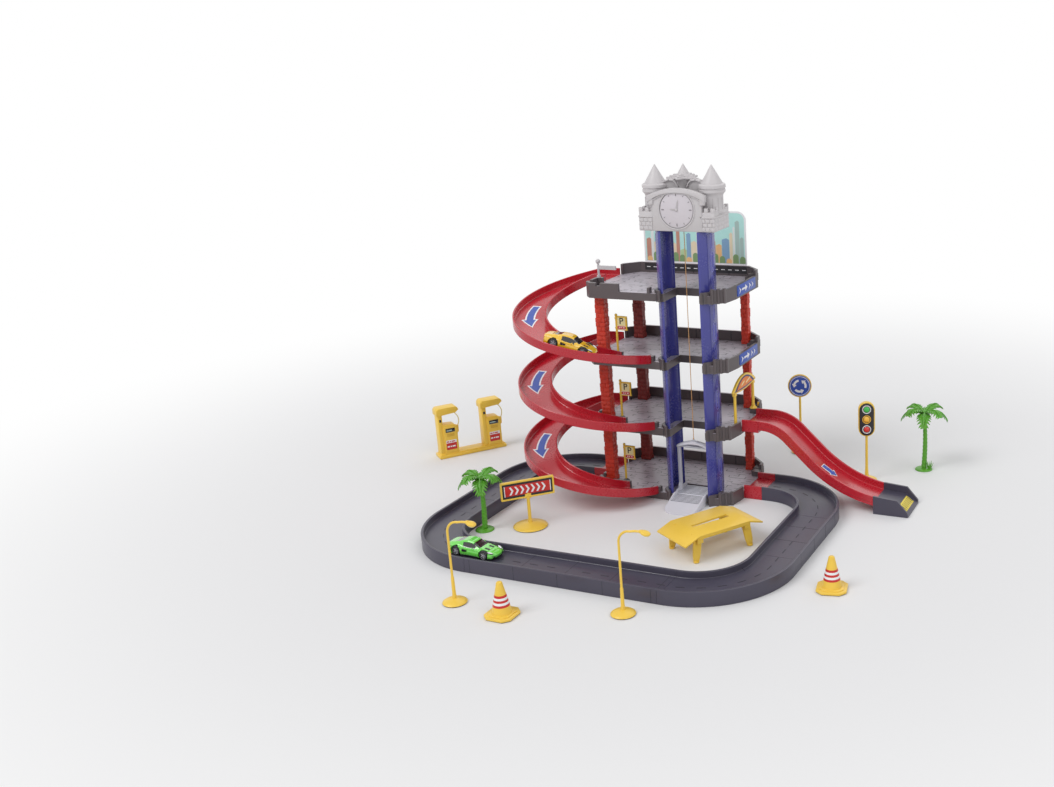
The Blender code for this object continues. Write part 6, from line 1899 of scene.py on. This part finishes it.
def makePumps():
    parts = [block("kerb", (-0.052, -0.012, 0), (0.052, 0.012, 0.0045), 0.0008),
             block("kerbTop", (-0.050, -0.010, 0.004), (0.050, 0.010, 0.0064), 0.0008)]
    prints = []
    for x in pumps["pillars"]:
        parts.append(block("pillar", (x - 0.0150, -0.0080, 0.0055), (x - 0.0082, 0.0090, 0.0730), 0.0012))
        shoulder = [(x - 0.0090, 0.0055), (x + 0.0128, 0.0055), (x + 0.0128, 0.0430),
                    *arc(x + 0.0068, 0.0440, 0.0060, 10, 90, 8), (x - 0.0090, 0.0510)]
        parts.append(plate("case", shoulder, -0.0090, 0.0085, "Y", 0.0008))
        parts.append(plate("frame", roundedBox(x - 0.0078, 0.0090, x + 0.0112, 0.0480, 0.0020), -0.0098, -0.0088,
                           "Y", 0.0003))
        canopy = [(x - 0.0168, 0.0660), (x + 0.0120, 0.0680), (x + 0.0172, 0.0720),
                  *arc(x + 0.0120, 0.0725, 0.0045, 10, 90, 6), *arc(x - 0.0118, 0.0720, 0.0050, 90, 180, 6)]
        parts.append(plate("canopy", canopy, -0.0100, 0.0100, "Y", 0.0010))
        parts.append(block("holster", (x + 0.0120, -0.0030, 0.0330), (x + 0.0150, 0.0030, 0.0460), 0.0006))
        hose = [(x + 0.0100, -0.0005, 0.0690)]
        for step in range(1, 15):
            share = step / 14
            hose.append((x + 0.0100 + 0.0066 * math.sin(math.pi * share) ** 0.8 + 0.0040 * share, -0.0005,
                         0.0680 - 0.0260 * share))
        prints.append(give(tube("hose", hose, 0.0008), "cream"))
        nozzle = [(x + 0.0138, 0.0330), (x + 0.0170, 0.0350), (x + 0.0172, 0.0450), (x + 0.0142, 0.0455)]
        parts.append(plate("nozzle", nozzle, -0.0016, 0.0016, "Y", 0.0004))
        for part, x0, x1, y0, y1, z0, z1, edge, finish in pumps["panels"]:
            prints.append(give(block(part, (x + x0, y0, z0), (x + x1, y1, z1), edge), finish))
        for start, long in pumps["marks"]:
            for left, z0, z1, finish in ((-0.0064, 0.0238, 0.0254, "redPrint"), (-0.0060, 0.0160, 0.0180, "white")):
                x0 = x + left + start
                prints.append(give(block("mark", (x0, -0.0104, z0), (x0 + long, -0.0100, z1)), finish))
        # the slots are darker yellow lines, painted shade in the grooves
        for z in pumps["slots"]:
            prints.append(give(block("slot", (x - 0.0040, -0.0100, z), (x + 0.0070, -0.0096, z + 0.0005)),
                               "yellowPaintedShade"))
        prints.append(give(block("slot", (x - 0.0130, -0.0082, 0.0560), (x - 0.0100, -0.0078, 0.0600)), "dark"))
    for part in parts:
        give(part, "yellow")
    stand("petrolPumps", parts + prints, "petrol_pumps")


def makeBridge():
    long, width, top = 0.112, 0.062, 0.034
    side = [(-long / 2, top - 0.010), (-long / 2 + 0.020, top - 0.0022), (long / 2 - 0.020, top - 0.0022),
            (long / 2, top - 0.008), (long / 2, top - 0.006), (long / 2 - 0.020, top), (-long / 2 + 0.020, top),
            (-long / 2, top - 0.008)]
    table = plate("table", side, -width / 2, width / 2, "Y", 0.0005)
    slot = plate("slot", [(-0.026, -0.0022), (0.026, -0.0042), (0.026, 0.0042), (-0.026, 0.0022)], 0.010, 0.050)
    carve(table, slot)
    parts = [table]
    for y in (-width / 2 + 0.0012, width / 2 - 0.0012):
        skirt = [(-0.036, top - 0.0016), (0.036, top - 0.0016), (0.036, top - 0.0050), (-0.036, top - 0.0050)]
        parts.append(plate("skirt", skirt[::-1], y - 0.0010, y + 0.0010, "Y", 0.0003))
    for x in (-0.034, 0.034):
        parts.append(block("beam", (x - 0.0014, -0.0255, top - 0.0120), (x + 0.0014, 0.0255, top - 0.0015), 0.0004))
        for y, out in ((-0.024, -1), (0.024, 1)):
            foot = (x * 1.15, y * 1.1)
            leg = plate("leg", [(-0.0034, 0.0003), (0.0034, 0.0003), (0.0050, 0.0090), (0.0060, top - 0.0020),
                                (-0.0060, top - 0.0020), (-0.0050, 0.0090)],
                        -0.0013, 0.0013, "Y", 0.0004)
            lean = Matrix.Identity(4)
            lean[0][2], lean[1][2] = (x - foot[0]) / top, (y - foot[1]) / top
            leg.data.transform(Matrix.Translation((*foot, 0)) @ lean)
            parts.append(leg)
            parts.append(rod("pad", (*foot, 0.0003), (*foot, 0.0022), 0.0034, 0.0030, 24, 0.0003))
            outer = y + out * 0.0052
            parts.append(block("tab", (x - 0.0040, outer - 0.0010, top - 0.010),
                               (x + 0.0040, outer + 0.0010, top - 0.0005), 0.0005))
    for x in (-0.038, -0.030, 0.030, 0.038):
        for y in (-0.018, 0.018):
            parts.append(rod("stud", (x, y, top - 0.0012),
                             (x, y, top + 0.0001 if abs(x) < 0.036 else top - 0.0003), 0.0009, sides=20))
    for part in parts:
        give(part, "yellow")
    stand("slottedBridge", parts, "slotted_bridge")


makeLamp("streetLampLeft", -0.0906, -0.413, ["street_lamp_left"])
makeLamp("streetLampRight", 0.1006, -0.376, ["street_lamp_right"])
makeCone("trafficCone", -0.023, -0.422, 0, ["traffic_cone"])
makeCone("trafficConeRight", 0.293, -0.247, 12, [])
makePalm("palmLeft", -0.1745, -0.228, 0.080, 0.064, 33, ["palm_left"], False)
makePalm("palmRight", 0.298, 0.149, 0.093, 0.072, 12, ["palm_right"], True)
makeChevronSign()
makeRoundaboutSign()
makeTrafficLight()
makePumps()
makeBridge()
print("set pieces ready")


# Camera, light and floor

studio = {
    "floorSize": 8.0,
    "paper": (0.80, 0.80, 0.81, 1),
    "fade": (0.45, 1.30),      # where the paper starts and ends turning white for the camera
    "worldStrength": 0.55,
    "suns": (    # direction it shines from, strength, width in degrees
        ((-0.9, -1.3, 1.7), 1.15, 30),
        ((1.5, -0.7, 1.1), 0.55, 45),
        ((0.1, 1.4, 1.5), 0.35, 50),
    ),
}


def makeCamera():
    camera = linked("camera", bpy.data.cameras.new("camera"))
    tilt = Matrix.Rotation(math.radians(90 - view["elevation"]), 4, "X")
    swing = Matrix.Rotation(math.radians(view["azimuth"]), 4, "Z")
    roll = Matrix.Rotation(math.radians(view["roll"]), 4, "Z")
    camera.matrix_world = Matrix.Translation(view["place"]) @ swing @ tilt @ roll
    camera.data.lens = view["lens"]
    camera.data.shift_x, camera.data.shift_y = view["shift"]
    camera.data.clip_start = 0.01
    bpy.context.scene.camera = camera


def mixShaders(tree, share, first, second, output):
    both = tree.nodes.new("ShaderNodeMixShader")
    for socket, value in zip(both.inputs, (share, first, second)):
        tree.links.new(value, socket)
    tree.links.new(both.outputs[0], output)


def cameraWhite(tree, shader, output):
    # camera, mirror and glass rays see plain white, the light stays as it is
    paths = tree.nodes.new("ShaderNodeLightPath")
    seen = maths(tree, "MAXIMUM", paths.outputs["Is Camera Ray"],
                 maths(tree, "MAXIMUM", paths.outputs["Is Glossy Ray"], paths.outputs["Is Transmission Ray"]))
    white = node(tree, "ShaderNodeBackground", Color=(1, 1, 1, 1), Strength=1.0)
    mixShaders(tree, seen, shader, white.outputs[0], output)


def makeStudio():
    scene = bpy.context.scene
    scene.view_settings.view_transform = "Standard"
    world = bpy.data.worlds.new("studio")
    scene.world = world
    world.use_nodes = True
    sky = world.node_tree.nodes["Background"]
    sky.inputs["Color"].default_value = (1, 1, 1, 1)
    sky.inputs["Strength"].default_value = studio["worldStrength"]
    cameraWhite(world.node_tree, sky.outputs[0], world.node_tree.nodes["World Output"].inputs[0])
    for index, (place, strength, width) in enumerate(studio["suns"]):
        lamp = linked(f"sun{index}", bpy.data.lights.new(f"sun{index}", "SUN"))
        lamp.data.energy = strength
        lamp.data.angle = math.radians(width)
        lamp.location = place
        lamp.rotation_euler = (-Vector(place)).to_track_quat("-Z", "Y").to_euler()
    bpy.ops.mesh.primitive_plane_add(size=studio["floorSize"], location=(0, 0, -0.0002))
    floor = bpy.context.object
    floor.name = "floor"
    paper = bpy.data.materials.new("paper")
    paper.use_nodes = True
    tree = paper.node_tree
    shader = tree.nodes["Principled BSDF"]
    shader.inputs["Base Color"].default_value = studio["paper"]
    shader.inputs["Roughness"].default_value = 0.9
    shader.inputs["Specular IOR Level"].default_value = 0.1
    # further out the camera sees plain white, so no edge shows behind the toy
    place = tree.nodes.new("ShaderNodeTexCoord").outputs["Object"]
    reach = node(tree, "ShaderNodeVectorMath")
    reach.operation = "LENGTH"
    tree.links.new(place, reach.inputs[0])
    fade = tree.nodes.new("ShaderNodeMapRange")
    fade.interpolation_type = "SMOOTHSTEP"
    fade.inputs["From Min"].default_value, fade.inputs["From Max"].default_value = studio["fade"]
    tree.links.new(reach.outputs["Value"], fade.inputs["Value"])
    seen = maths(tree, "MULTIPLY", fade.outputs["Result"],
                 tree.nodes.new("ShaderNodeLightPath").outputs["Is Camera Ray"])
    white = node(tree, "ShaderNodeEmission", Strength=1.0)
    mixShaders(tree, seen, shader.outputs[0], white.outputs[0], tree.nodes["Material Output"].inputs[0])
    floor.data.materials.append(paper)


makeCamera()
makeStudio()
print("studio ready")
